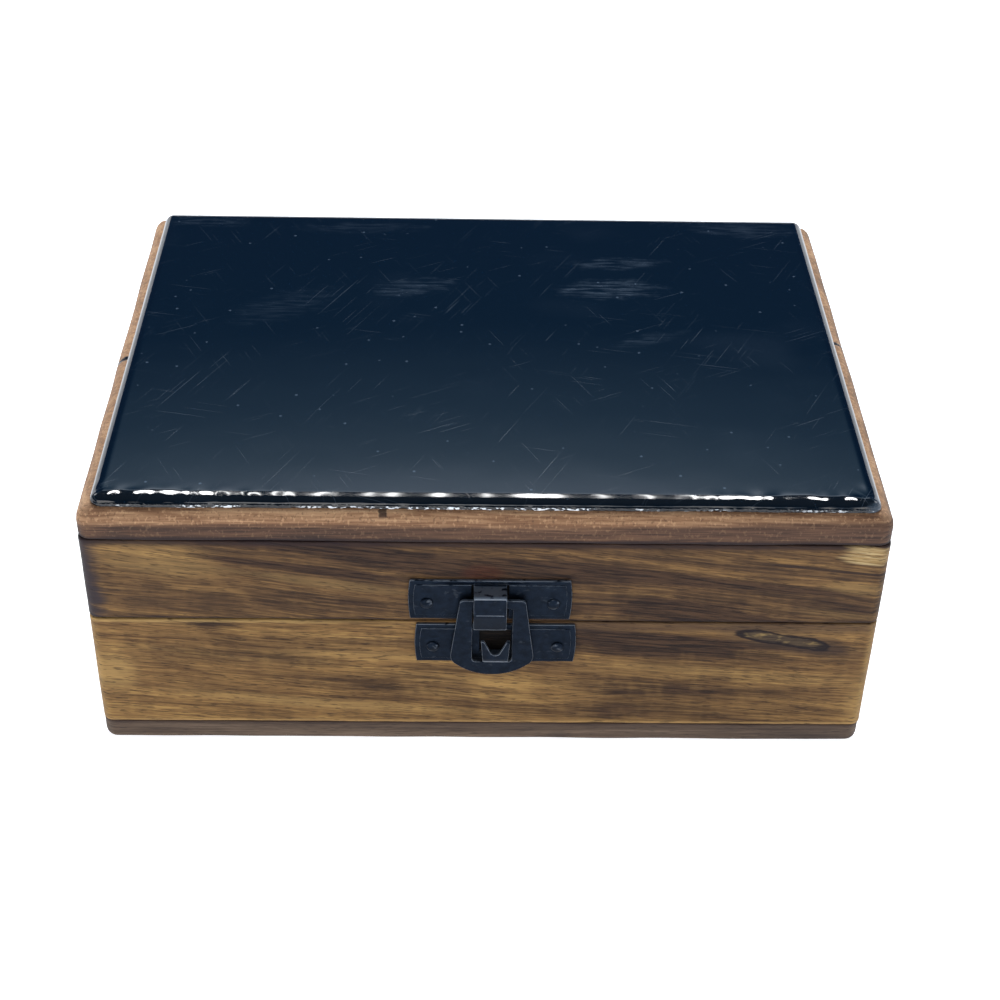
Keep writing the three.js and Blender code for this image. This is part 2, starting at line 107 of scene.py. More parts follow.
# %% A socket that does arithmetic
class Wire:
    def __init__(self, tree, socket=None):
        self.tree = tree
        self.socket = socket

    def add(self, kind, settings=None, inputs=None, out=0):
        """Add a node: settings are set first, then each input is given a value or a link."""
        node = self.tree.nodes.new(kind)
        for name, value in (settings or {}).items():
            if name == "stops":
                set_stops(node.color_ramp, value)
            else:
                setattr(node, name, value)
        for key, value in (inputs or {}).items():
            if isinstance(value, Wire):
                self.tree.links.new(value.socket, node.inputs[key])
            else:
                node.inputs[key].default_value = value
        return Wire(self.tree, node.outputs[out] if node.outputs else None)

    def output(self, key):
        """Another output of the same node."""
        return Wire(self.tree, self.socket.node.outputs[key])

    def maths(self, operation, first, second=0.0):
        inputs = {0: first, 1: second}
        return self.add("ShaderNodeMath", {"operation": operation}, inputs)

    def __add__(self, other):
        return self.maths("ADD", self, other)

    def __radd__(self, other):
        return self.maths("ADD", other, self)

    def __sub__(self, other):
        return self.maths("SUBTRACT", self, other)

    def __rsub__(self, other):
        return self.maths("SUBTRACT", other, self)

    def __mul__(self, other):
        return self.maths("MULTIPLY", self, other)

    def __rmul__(self, other):
        return self.maths("MULTIPLY", other, self)

    def __truediv__(self, other):
        return self.maths("DIVIDE", self, other)

    def __abs__(self):
        return self.maths("ABSOLUTE", self)


def set_stops(ramp, stops):
    while len(ramp.elements) < len(stops):
        ramp.elements.new(1.0)
    for element, (place, color) in zip(ramp.elements, stops):
        element.position = place
        element.color = color


# %% [markdown]
# ## Words for finishes
#
# Every finish below is made from the same few things: where a point is in millimetres, a
# patch of noise stretched to a given size, a soft step from one value to another, and a
# blend of two colours. Naming them once keeps each finish short. Colours are written as
# the screen shows them and turned into the linear values that shaders use.


# %% Colours, steps, noise and blends
def color(red, green, blue):
    """A colour given as 0 to 255 on the screen."""
    parts = [value / 255 for value in (red, green, blue)]
    linear = [p / 12.92 if p <= 0.04045 else ((p + 0.055) / 1.055) ** 2.4 for p in parts]
    return (*linear, 1.0)


def new_finish(name):
    material = bpy.data.materials.new(name)
    material.use_nodes = True
    material.node_tree.nodes.clear()
    return material, Wire(material.node_tree)


def place_in_mm(start):
    """x, y and z of the shaded point. They move with the piece, so the grain does too."""
    place = start.add("ShaderNodeTexCoord").output("Object")
    split = start.add("ShaderNodeSeparateXYZ", inputs={0: place})
    return [split.output(axis) * (1 / MM) for axis in range(3)]


def joined(x, y, z):
    return x.add("ShaderNodeCombineXYZ", inputs={0: x, 1: y, 2: z})


def mottle(point, size, seed, detail=2.0, rough=0.5):
    """Noise from 0 to 1 whose blotches measure about `size` millimetres along x, y and z."""
    scale = point.add(
        "ShaderNodeVectorMath",
        {"operation": "MULTIPLY_ADD"},
        {0: point, 1: [1 / s for s in size], 2: (seed * 7.3, seed * 3.1, seed * 5.7)},
    )
    inputs = {"Vector": scale, "Scale": 1.0, "Detail": detail, "Roughness": rough}
    return point.add("ShaderNodeTexNoise", inputs=inputs)


def step(value, start, end):
    """0 before start, 1 after end, smooth between. start may be the larger one."""
    inputs = {"Value": value, "From Min": start, "From Max": end}
    return value.add("ShaderNodeMapRange", {"interpolation_type": "SMOOTHSTEP"}, inputs)


def blend(amount, first, second):
    """A colour between first and second."""
    inputs = {0: amount, 6: first, 7: second}
    return amount.add("ShaderNodeMix", {"data_type": "RGBA"}, inputs, out=2)


def oval(along, across, half_length, half_width):
    """0 in the middle of an oval, 1 on its rim and more outside."""
    u, v = along / half_length, across / half_width
    return u * u + v * v


def ramp(value, *stops):
    return value.add("ShaderNodeValToRGB", {"stops": stops}, {0: value})


def bump(height, distance, strength=1.0, under=None):
    """Small relief: height from 0 to 1 stands for 0 to `distance` millimetres."""
    inputs = {"Height": height, "Distance": distance * MM, "Strength": strength}
    if under:
        inputs["Normal"] = under
    return height.add("ShaderNodeBump", inputs=inputs)


def coat_surface(start, **sockets):
    """The shader itself. Words in a name are joined by _ where the socket has a space."""
    inputs = {name.replace("_", " "): value for name, value in sockets.items()}
    surface = start.add("ShaderNodeBsdfPrincipled", inputs=inputs)
    start.add("ShaderNodeOutputMaterial", inputs={"Surface": surface})


# %% [markdown]
# ## The table
#
# A sheet of milky plastic, flat under the box and curving up at its rim, lit a little from
# below. A plain plane would do for one view, but from low angles its edge would show. The
# glow keeps the shadow under the box thin and pale.


# %% Table
TABLE_FLAT, TABLE_RIM, TABLE_RISE = 1.0, 1.6, 0.5
TABLE_SIDES = 72


def circle(radius, sides):
    """Pairs of numbers once around a circle."""
    turn = [math.tau * i / sides for i in range(sides)]
    return [(radius * math.cos(t), radius * math.sin(t)) for t in turn]


def bridge(mesh, loops):
    """Quads between each loop of points and the next one."""
    for inner, outer in zip(loops, loops[1:]):
        for i in range(len(inner)):
            j = (i + 1) % len(inner)
            mesh.faces.new((inner[i], outer[i], outer[j], inner[j]))


def light_table():
    profile = [(radius, 0.0) for radius in (0.3, 0.6, TABLE_FLAT)]
    for degrees in range(10, 91, 10):
        angle = math.radians(degrees)
        across = TABLE_FLAT + (TABLE_RIM - TABLE_FLAT) * math.sin(angle)
        profile.append((across, TABLE_RISE * (1 - math.cos(angle))))
    mesh = bmesh.new()
    loops = []
    for radius, height in profile:
        ring = circle(radius, TABLE_SIDES)
        loops.append([mesh.verts.new((x, y, height)) for x, y in ring])
    mesh.faces.new(loops[0])
    bridge(mesh, loops)
    data = bpy.data.meshes.new("table")
    mesh.to_mesh(data)
    mesh.free()
    data.polygons.foreach_set("use_smooth", [True] * len(data.polygons))
    table = bpy.data.objects.new("table", data)
    bpy.context.scene.collection.objects.link(table)
    return table


def milky_plastic():
    material, start = new_finish("milky_plastic")
    x, y, z = place_in_mm(start)
    cloud = mottle(joined(x, y, z), (180, 180, 180), seed=1)
    tint = blend(cloud, color(238, 239, 241), color(246, 246, 246))
    coat_surface(
        start,
        Base_Color=tint,
        Roughness=0.55 + cloud * 0.1,
        Emission_Color=tint,
        Emission_Strength=0.8,
    )
    return material


table = light_table()
table.data.materials.append(milky_plastic())
table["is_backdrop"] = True
print("table", [round(v, 2) for v in table.dimensions])

# %% [markdown]
# ## Light
#
# Glossy black lacquer shows its surroundings more than itself, so the lights are placed by
# what the lid should mirror. A dim blue room makes the far part of the lid almost black. A
# bright band in that room, about 38 degrees up, makes the haze along the lid's front. A row
# of narrow tubes, above and behind the box, gives the separate glints on the rolled edge:
# the tubes are parallel, because tubes that fan out would merge into one line there. A soft
# window in front lights the wood, and a lamp on each side keeps the ends from going black.


# %% Room and lamps
def dim_room():
    """Dark blue, with a pale band that starts softly below and ends sharply above."""
    world = bpy.data.worlds.new("room")
    world.use_nodes = True
    world.node_tree.nodes.clear()
    start = Wire(world.node_tree)
    direction = start.add("ShaderNodeTexCoord").output("Generated")
    height = start.add("ShaderNodeSeparateXYZ", inputs={0: direction}).output(2)
    tint = ramp(
        height,
        (0.45, (0.015, 0.045, 0.11, 1)),
        (0.525, (0.022, 0.07, 0.155, 1)),
        (0.5635, (0.09, 0.18, 0.30, 1)),
        (0.5835, (0.19, 0.31, 0.45, 1)),
        (0.602, (0.52, 0.68, 0.88, 1)),
        (0.612, (0.90, 1.08, 1.30, 1)),
        (0.622, (0.90, 1.08, 1.30, 1)),
        (0.637, (0.016, 0.05, 0.10, 1)),
        (1.00, (0.07, 0.10, 0.14, 1)),
    )
    sky = start.add("ShaderNodeBackground", inputs={"Color": tint, "Strength": 2.0})
    start.add("ShaderNodeOutputWorld", inputs={"Surface": sky})
    bpy.context.scene.world = world


def lamp(name, azimuth, height_angle, distance, size, power, tint, shift=0.0):
    """A soft lamp facing the box. Azimuth 0 is in front and 180 behind; shift is along X."""
    around, up = math.radians(azimuth), math.radians(height_angle)
    level = Vector((math.sin(around), -math.cos(around), 0)) * math.cos(up)
    away = level + Vector((0, 0, math.sin(up)))
    data = bpy.data.lights.new(name, "AREA")
    data.shape = "ELLIPSE"
    data.size, data.size_y = size
    data.energy = power
    data.color = tint
    light = bpy.data.objects.new(name, data)
    light.location = away * distance + Vector((shift, 0, 0))
    light.rotation_euler = away.to_track_quat("Z", "Y").to_euler()
    bpy.context.scene.collection.objects.link(light)


NEUTRAL, WARM = (1.0, 1.0, 1.0), (1.0, 0.95, 0.88)
TUBE_DISTANCE = 1.1
TUBE_RADIANT = 56
TUBES, TUBE_STEP, ROW_MIDDLE = 12, 0.0315, 5.6
NARROWEST, WIDER_BY = 0.005, 0.003
WIDE_TUBE, WIDE_WIDTH = 7, 0.028
IRREGULAR = 0.0045


def tube(name, width, length, shift):
    """One long thin lamp of the row. Wider tubes take more power, so all are as bright."""
    size, power = (width, length), width * TUBE_RADIANT
    lamp(name, 180, 60, TUBE_DISTANCE, size, power, NEUTRAL, shift)


dim_room()
lamp("window_front", -12, 27, 1.5, (1.5, 0.7), 8, WARM)
for number in range(TUBES):
    width = WIDE_WIDTH if number == WIDE_TUBE else NARROWEST + WIDER_BY * (number * 7 % 3)
    uneven = (number * 5 % 4 - 1.5) * IRREGULAR
    tube(f"tube_{number}", width, 0.62, (number - ROW_MIDDLE) * TUBE_STEP + uneven)
tube("glint_left", 0.05, 0.5, -0.225)
tube("glint_right", 0.062, 0.5, 0.22)
lamp("side_lamp_right", 115, 38, 1.5, (0.5, 0.5), 2.5, NEUTRAL)
lamp("side_lamp_left", -125, 40, 1.5, (0.5, 0.5), 2.5, NEUTRAL)

# %% [markdown]
# ## Torched wood
#
# The maker burned the boards lightly and brushed them, which darkens the soft wood between
# the hard lines. An image of wood would repeat and can't follow a board's end, so the grain
# is a solid noise, long along the board and thin across it, that runs right through the
# piece. Slow noise bends the lines, fine short dashes are the pores, and burn marks are
# broad soft patches with an edge broken up by the grain. Raw wood shows inside the box.

# %% Levels that the wood finishes use
def box_in_mm(node):
    return [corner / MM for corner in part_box(node)]


base_low, base_high = box_in_mm("base_front_wall")
rail_low, rail_high = box_in_mm("lid_front_rail")
plank_low, plank_high = box_in_mm("lid_board_front")
WALL = base_high.y - base_low.y
HALF_WIDTH = base_high.x
FRONT = base_low.y
INSIDE_X, INSIDE_Y = HALF_WIDTH - WALL, -FRONT - WALL
print("seam at", round(base_high.z, 2), "lid board from", round(plank_low.z, 2))


# %% Grain, pores and burns
RAGGED = 1.8


def grain(start, along_axis, seed, slope=0.0, wander=5.0):
    """The board's coordinates and its noises. `slope` tilts the lines across the board."""
    x, y, z = place_in_mm(start)
    along, through = (x, y) if along_axis == "x" else (y, x)
    slow = mottle(joined(along, through, z), (62, 40, 17), seed, detail=1.5)
    across = z + along * slope + (slow - 0.5) * wander
    lines = joined(along, through, across)
    return {
        "x": x, "y": y, "z": z, "along": along, "across": across, "lines": lines,
        "bands": mottle(lines, (70, 8, 2.3), seed + 1, detail=4, rough=0.62),
        "fibres": mottle(lines, (8.5, 1.0, 0.36), seed + 2, detail=3, rough=0.62),
        "pores": mottle(lines, (2.4, 0.5, 0.2), seed + 3, detail=1),
        "shimmer": mottle(lines, (3.2, 4, 7), seed + 5, detail=2),
        "scorch": mottle(lines, (30, 22, 5.5), seed + 4, detail=3.5, rough=0.6),
    }


def soft_patch(wood, along, height, half_length, half_height):
    """1 in the middle of an oval lying along the grain, 0 outside, with a ragged edge."""
    spot = oval(wood["along"] - along, wood["across"] - height, half_length, half_height)
    return step(spot + (wood["bands"] - 0.5) * RAGGED, 1.6, -0.25)


def raw_inside(wood):
    """1 on the faces that look into the box."""
    in_x = step(abs(wood["x"]), INSIDE_X + 0.15, INSIDE_X + 0.05)
    in_y = step(abs(wood["y"]), INSIDE_Y + 0.15, INSIDE_Y + 0.05)
    return in_x * in_y


# %% [markdown]
# The burns of each long front board are listed one by one as (place along the board, height,
# half length, half height, strength), because a torch goes where the hand holds it. The
# back and the ends keep only the noise, with more scorch.

# %% The torched finish
BURN_DEEP, BURN_BROWN = color(31, 22, 19), color(68, 49, 35)
BASE_TONES = [
    (0.33, color(60, 43, 29)), (0.43, color(94, 69, 42)),
    (0.53, color(124, 94, 56)), (0.65, color(162, 128, 76)),
]
LID_TONES = [
    (0.34, color(43, 30, 23)), (0.43, color(69, 51, 35)),
    (0.53, color(97, 72, 45)), (0.64, color(138, 106, 64)),
]
RAW_DARK, RAW_LIGHT = color(140, 110, 76), color(180, 147, 105)


def raw_wood(tone):
    """Bare pale wood, as it shows inside the box."""
    return blend(step(tone, 0.35, 0.65), RAW_DARK, RAW_LIGHT)


def torched_wood(name, axis, seed, tones, slope, burns=(), pale=(), scorch=0.55, extra=None):
    material, start = new_finish(name)
    wood = grain(start, axis, seed, slope)
    tone = wood["bands"] * 0.46 + wood["fibres"] * 0.44 + wood["shimmer"] * 0.1
    tint = ramp(tone, *tones)
    burnt = step(wood["scorch"] + (wood["bands"] - 0.5) * 0.6, 0.44, 0.72) * scorch
    for along, height, length, rise, strength in burns:
        burnt = burnt + soft_patch(wood, along, height, length, rise) * strength
    for along, height, length, rise, strength in pale:
        light = soft_patch(wood, along, height, length, rise) * strength
        burnt = burnt * (1 - light)
        tint = blend(light * 0.6, tint, color(163, 132, 82))
    burn_tint = blend(step(wood["fibres"], 0.36, 0.62), BURN_DEEP, BURN_BROWN)
    uneven = burnt * (1.15 - step(wood["shimmer"], 0.42, 0.7) * 0.25)
    tint = blend(uneven, tint, burn_tint)
    if extra:
        tint = extra(wood, tint)
    pore = step(wood["pores"], 0.58, 0.68)
    tint = blend(pore * 0.6, tint, color(36, 27, 22))
    inside = raw_inside(wood)
    tint = blend(inside, tint, blend(pore * 0.3, raw_wood(tone), color(92, 66, 44)))
    relief = wood["fibres"] * 0.6 + wood["bands"] * 0.4 - pore * 0.35
    coat_surface(
        start,
        Base_Color=tint,
        Roughness=0.46 + wood["fibres"] * 0.22 + inside * 0.12,
        Normal=bump(relief, 0.16, strength=0.55),
        Specular_IOR_Level=0.1,
    )
    return material


# %% [markdown]
# The base front has marks of its own: a pale painted highlight along the left of its upper
# edge and a dark one along the right, a pale line where it meets the bottom board, pale
# corners, and an old knot with a black rim on the right. The lid's rail has a burnt left end,
# dark glued edges, the upper one painted darker as the shade of its gap to the lid board, a
# crack, a cream patch and a rust stain. They are masks on the same grain, because a knot is
# part of the wood and not a thing on it. The wood seen through each plate's window is painted
# black as shade.


# %% Marks on the front boards
def knot(wood, tint):
    """A long shallow knot: black rim, brown inside with pale flecks."""
    middle_x, middle_z, half_length, half_height, tilt = 57.1, 27.2, 8.7, 1.35, -0.19
    broken = mottle(wood["lines"], (4.5, 3, 1.6), 41)
    from_middle = wood["x"] - middle_x
    u = from_middle / half_length
    v = (wood["z"] - middle_z - from_middle * tilt + (broken - 0.5) * 1.5) / half_height
    u2 = u * u
    distance = u2 * u2 + v * v
    flecks = step(mottle(wood["lines"], (2.6, 2, 1.3), 42), 0.52, 0.72)
    heart = blend(step(wood["fibres"], 0.35, 0.65), color(46, 38, 34), color(74, 60, 44))
    heart = blend(flecks * 0.8, heart, color(128, 106, 68))
    halo = step(distance, 7.0, 0.8) * 0.5
    tint = blend(halo, tint, color(62, 48, 38))
    tint = blend(step(distance, 1.1, 0.8), tint, heart)
    rim = step(abs(distance - 0.9) + (wood["fibres"] - 0.5) * 0.9, 0.75, 0.2)
    return blend(rim * 0.93, tint, color(24, 19, 22))


def shade_behind_window(wood, node, bottom, top, half_width):
    """1 where a latch plate's window shows the wood, which is painted black there as shade."""
    low, high = box_in_mm(node)
    side = abs(wood["x"] - (low.x + high.x) / 2)
    across = step(side, half_width + 0.5, half_width + 0.1)
    return across * step(wood["z"], bottom - 0.5, bottom) * step(wood["z"], top + 0.5, top)


# Near black, painted as shade onto the wood seen through each plate's window.
WINDOW_SHADE = color(4, 5, 7)


def base_front_marks(wood, tint):
    edge = wood["z"] + (wood["fibres"] - 0.5) * 1.0
    left = step(wood["x"] + (wood["bands"] - 0.5) * 60, -8, -44)
    # A pale line just under the seam on the left: a painted edge highlight.
    seam_edge_highlight = step(edge, base_high.z - 0.9, base_high.z - 0.4)
    tint = blend(seam_edge_highlight * left * 0.5, tint, color(172, 140, 88))
    top_shade = step(edge, base_high.z - 3.0, base_high.z - 1.2) * step(wood["x"], -12, 14)
    tint = blend(top_shade * 0.7, tint, color(62, 47, 38))
    low_line = step(edge, base_low.z + 0.95, base_low.z + 0.5)
    tint = blend(low_line * 0.55, tint, color(160, 127, 80))
    corner = step(abs(wood["x"]) + (wood["shimmer"] - 0.5) * 3, HALF_WIDTH - 2.2, HALF_WIDTH)
    tint = blend(corner * 0.35, tint, color(160, 128, 78))
    tint = knot(wood, tint)
    # Painted black shade behind the catch plate's window.
    window = shade_behind_window(wood, "catch_plate", base_low.z + 18.7, base_high.z - 1.2, 3.2)
    return blend(window * 0.97, tint, WINDOW_SHADE)


def lid_front_marks(wood, tint):
    """The lid's rail: burnt blue-black at its left end, dark along both glued edges, the upper
    one also painted darker as the shade of its gap under the lid board.
    """
    edge = wood["z"] + (wood["fibres"] - 0.5) * 1.4
    end = step(wood["x"] + (wood["bands"] - 0.5) * 7 + (wood["shimmer"] - 0.5) * 3, -69.8, -74)
    tint = blend(end * 0.9, tint, color(44, 39, 44))
    seam = step(edge, rail_low.z + 0.9, rail_low.z + 0.15) * step(wood["bands"], 0.38, 0.5)
    tint = blend(seam * 0.8, tint, color(36, 27, 27))
    # Upper glued edge: a dark glue line, painted darker still as the shade of the gap under
    # the lid board.
    joint_and_gap_shade = step(edge, rail_high.z - 1.4, rail_high.z - 0.5)
    tint = blend(joint_and_gap_shade * 0.8, tint, color(36, 26, 28))
    crack_start, crack_level, crack_fall = 52.0, 46.0, 0.124
    crack = wood["z"] - crack_level + (wood["x"] - crack_start) * crack_fall
    crack_line = step(abs(crack + (wood["bands"] - 0.5) * 2), 0.55, 0.2)
    crack_line = crack_line * step(wood["x"], crack_start - 10, crack_start + 6)
    cream_level = wood["z"] - 47.8 + (wood["x"] - 70.5) * 0.1
    cream = oval(wood["x"] - 71, cream_level, 5.5, 1.9) + (wood["bands"] - 0.5) * 5
    fibre = step(wood["fibres"], 0.4, 0.62)
    cream_tint = blend(fibre, color(150, 121, 76), color(186, 164, 120))
    tint = blend(step(cream, 1.4, 0.2) * 0.75, tint, cream_tint)
    tint = blend(crack_line * 0.85, tint, color(36, 27, 26))
    rust_spot = oval(wood["x"] + 0.6, wood["z"] - 43.2, 4.5, 2.2)
    rust = step(rust_spot + (wood["fibres"] - 0.5), 1.2, 0.1)
    tint = blend(rust * 0.5, tint, color(66, 33, 24))
    # Painted black shade behind the hasp plate's window.
    window = shade_behind_window(wood, "hasp_plate", rail_low.z + 0.9, rail_low.z + 9.6, 3.5)
    return blend(window * 0.97, tint, WINDOW_SHADE)


BASE_BURNS = [
    (-66, 29.5, 4, 1.8, 0.45), (-52, 26.6, 5, 2.4, 0.75), (-38, 22.5, 26, 1.7, 0.45),
    (-12, 24.0, 22, 1.6, 0.42), (-50, 18.5, 22, 2.3, 0.55), (-14, 14.0, 30, 2.6, 0.5),
    (32, 28.2, 30, 3.0, 0.9), (38, 21.0, 36, 8.0, 0.35), (62, 30.2, 9, 1.3, 0.6),
    (30, 30.0, 30, 1.6, 0.7), (66, 29.6, 14, 1.6, 0.6), (34, 17.0, 26, 2.3, 0.5),
    (30, 10.5, 34, 2.4, 0.5), (62, 13.5, 12, 1.6, 0.4),
]
BASE_PALE = [
    (-72, 12, 5, 5, 0.8), (-60, 30.6, 22, 1.1, 0.5), (-30, 8.3, 34, 1.5, 0.6),
    (-22, 20.3, 24, 1.1, 0.4), (46, 22.5, 26, 1.4, 0.45), (74, 16, 3, 9, 0.5),
    (52, 7.2, 22, 1.2, 0.4),
]
LID_BURNS = [
    (-38, 46.0, 24, 2.2, 1.3), (-6, 44.5, 24, 3.4, 1.0), (-34, 40.6, 24, 1.3, 1.3),
    (6, 36.5, 16, 3.0, 0.5), (22, 46.5, 20, 2.6, 0.8), (34, 38.5, 12, 3.4, 0.6),
    (54, 37.2, 9, 2.2, 0.55), (46, 40.5, 36, 8.0, 0.55), (52, 46.8, 18, 1.0, 0.7),
    (-20, 33.4, 26, 1.2, 0.4),
]
LID_PALE = [
    (-60, 38.5, 13, 4.2, 0.55), (-62, 47.8, 12, 1.6, 0.5), (69, 48.4, 6, 1.5, 0.5),
    (66, 42.0, 10, 1.2, 0.3), (60, 33.6, 18, 1.0, 0.35), (-30, 37.4, 16, 1.2, 0.35),
]
torched = {
    "base_front": torched_wood(
        "torched_base_front", "x", 11, BASE_TONES, 0.075, BASE_BURNS, BASE_PALE, 0.5,
        base_front_marks),
    "lid_front": torched_wood(
        "torched_lid_front", "x", 23, LID_TONES, 0.12, LID_BURNS, LID_PALE, 0.65,
        lid_front_marks),
    "long": torched_wood("torched_long", "x", 35, BASE_TONES, 0.05, scorch=0.85),
    "short": torched_wood("torched_short", "y", 47, BASE_TONES, 0.04, scorch=0.9),
}
print("torched finishes:", ", ".join(torched))

# %% [markdown]
# ## Lid board and bottom board
#
# The lid board is rounded over and sanded after burning, so its upper half is bare tan wood
# with short open pores, and the burn is left only near the glue joint below. Black lacquer
# has filled the ends of the joint between the two planks and has run down the front once.
# The bottom board is a darker, greyer wood.


# %% The two board finishes
JOINT_SKEW = 3.3
JOINT_SLOPE = math.tan(math.radians(JOINT_SKEW))
JOINT_MIDDLE = (plank_high.y + box_in_mm("lid_board_rear")[0].y) / 2
BLACK_FILL = color(14, 16, 22)


def sanded_lid_board():
    material, start = new_finish("sanded_lid_board")
    wood = grain(start, "x", 59, wander=2.0)
    tone = wood["bands"] * 0.5 + wood["fibres"] * 0.5
    bare = ramp(
        tone,
        (0.34, color(88, 60, 42)),
        (0.48, color(128, 93, 66)),
        (0.62, color(168, 132, 98)),
    )
    level = wood["z"] + (wood["bands"] - 0.5) * 2.8
    burnt_right = step(wood["x"], 18, 62) * 1.6
    scorched = step(level - burnt_right, plank_low.z + 4.6, plank_low.z + 2.7)
    dark = ramp(tone, (0.38, color(32, 23, 22)), (0.60, color(82, 57, 42)))
    tint = blend(scorched * 0.92, bare, dark)
    # The top of the board at its two ends is painted paler, as a highlight.
    end_highlight = step(wood["z"], plank_high.z - 1.6, plank_high.z - 0.4)
    side = step(abs(wood["x"]), HALF_WIDTH - 3.2, HALF_WIDTH - 2.2)
    tint = blend(end_highlight * side * 0.2, tint, color(184, 152, 118))
    point = joined(wood["x"], wood["y"], wood["z"])
    tick = step(mottle(point, (0.42, 0.42, 1.5), 61), 0.58, 0.7) * (1 - scorched * 0.5)
    tint = blend(tick * 0.5, tint, color(74, 50, 38))
    fleck = step(mottle(point, (0.6, 0.6, 0.9), 62), 0.56, 0.68) * (1 - scorched * 0.8)
    tint = blend(fleck * 0.4, tint, color(198, 158, 118))
    # Lower edge of the board: a dark glue line, painted darker still as the shade of the gap
    # over the rail.
    glue_and_gap_edge = wood["z"] + (wood["fibres"] - 0.5) * 0.8
    glue_and_gap_shade = step(glue_and_gap_edge, plank_low.z + 1.2, plank_low.z + 0.4)
    tint = blend(glue_and_gap_shade * 0.9, tint, color(31, 22, 24))
    crooked = (mottle(wood["lines"], (3, 1.6, 2), 63) - 0.5) * 2.2
    from_joint = abs(wood["y"] - wood["x"] * JOINT_SLOPE - JOINT_MIDDLE + crooked)
    fill = step(from_joint, 0.75, 0.4)
    tint = blend(fill, tint, BLACK_FILL)
    run_middle, run_half = -19.0, 0.95
    from_run = abs(wood["x"] - run_middle + (wood["fibres"] - 0.5)) / run_half
    on_front = step(wood["y"], FRONT + 3, FRONT + 2)
    run_edge = wood["z"] + (wood["fibres"] - 0.5) * 0.6
    run_end = step(run_edge, plank_high.z - 1.25, plank_high.z - 0.8)
    run = step(from_run, 1.0, 0.6) * on_front * run_end
    tint = blend(run * 0.8, tint, BLACK_FILL)
    inside = raw_inside(wood) * step(wood["z"], plank_low.z + 0.3, plank_low.z + 0.2)
    tint = blend(inside, tint, raw_wood(tone))
    relief = wood["fibres"] * 0.5 - tick * 0.5 - fill * 0.4
    black = fill * (1 - run) + run
    coat_surface(
        start,
        Base_Color=tint,
        Roughness=0.56 + wood["fibres"] * 0.2 - black * 0.45,
        Normal=bump(relief, 0.16, strength=0.4),
        Specular_IOR_Level=0.2,
    )
    return material


def dark_bottom_board():
    top = box_in_mm("bottom_board")[1].z
    material, start = new_finish("dark_bottom_board")
    wood = grain(start, "x", 71, wander=2.5)
    tone = wood["bands"] * 0.5 + wood["fibres"] * 0.5
    tint = ramp(
        tone,
        (0.34, color(58, 46, 39)),
        (0.50, color(82, 67, 55)),
        (0.66, color(108, 91, 76)),
    )
    upper = step(wood["z"] + (wood["fibres"] - 0.5), top - 0.9, top - 0.1)
    tint = blend(upper * 0.5, tint, color(54, 40, 36))
    dent = soft_patch(wood, 15, 2.0, 2.6, 1.2) * 0.5 + soft_patch(wood, 64, 2.4, 11, 1.6) * 0.5
    tint = blend(dent, tint, color(44, 36, 36))
    pore = step(wood["pores"], 0.60, 0.70)
    tint = blend(pore * 0.45, tint, color(32, 25, 24))
    inside = raw_inside(wood) * step(wood["z"], top - 0.2, top - 0.05)
    tint = blend(inside, tint, raw_wood(tone))
    relief = wood["fibres"] * 0.6 + wood["bands"] * 0.4 - pore * 0.3
    coat_surface(
        start,
        Base_Color=tint,
        Roughness=0.58 + wood["fibres"] * 0.2,
        Normal=bump(relief, 0.16, strength=0.55),
        Specular_IOR_Level=0.2,
    )
    return material


lid_board_finish = sanded_lid_board()
bottom_finish = dark_bottom_board()
print("plank joint crosses the lid at y", round(JOINT_MIDDLE, 2))

# %% [markdown]
# ## Poured black lacquer
#
# Lacquer is a clear hard gloss over black, so its base colour is nearly nothing and its look
# is all reflection. What gives it scale is use: hair scratches in several directions, specks
# of dust and greyish smudges. Scratches are thin cuts through a stretched noise, turned to
# different angles, and they only lift the roughness and the colour by a little. Low on the
# rim a fine noise, kept to that height, gives a little relief, and white flecks are painted
# there as glints: painted highlights of the bright surroundings.
#
# Each smudge is (middle, half length and half width, degrees, strength).


# %% Lacquer finish
def turned(x, y, degrees):
    """Coordinates turned about the vertical, to draw marks at an angle."""
    cosine, sine = math.cos(math.radians(degrees)), math.sin(math.radians(degrees))
    return x * cosine + y * sine, y * cosine - x * sine


def hair_scratches(x, y, z, degrees, seed, rarity):
    along, across = turned(x, y, degrees)
    long_noise = mottle(joined(along, across, z), (16, 0.16, 4), seed, detail=0.5)
    spread = mottle(joined(along, across, z), (22, 14, 9), seed + 1, detail=1)
    return step(long_noise, rarity, rarity + 0.03) * step(spread, 0.46, 0.62)


def smudge(x, y, middle, half, degrees, ragged):
    along, across = turned(x - middle[0], y - middle[1], degrees)
    return step(oval(along, across, *half) + (ragged - 0.5) * 2.4, 1.2, -0.3)


SMUDGES = [
    ((-15, 22), (9, 4), 12, 0.55), ((27, 22), (12, 4.5), 3, 0.8), ((29, 33), (11, 3), 4, 0.6),
    ((-62, 50), (10, 3), 0, 0.35), ((58, 49), (13, 4), -4, 0.4), ((-28, 48), (16, 3), 2, 0.25),
    ((34, 2), (9, 2.4), 24, 0.3), ((-42, 14), (14, 6), 30, 0.2),
]


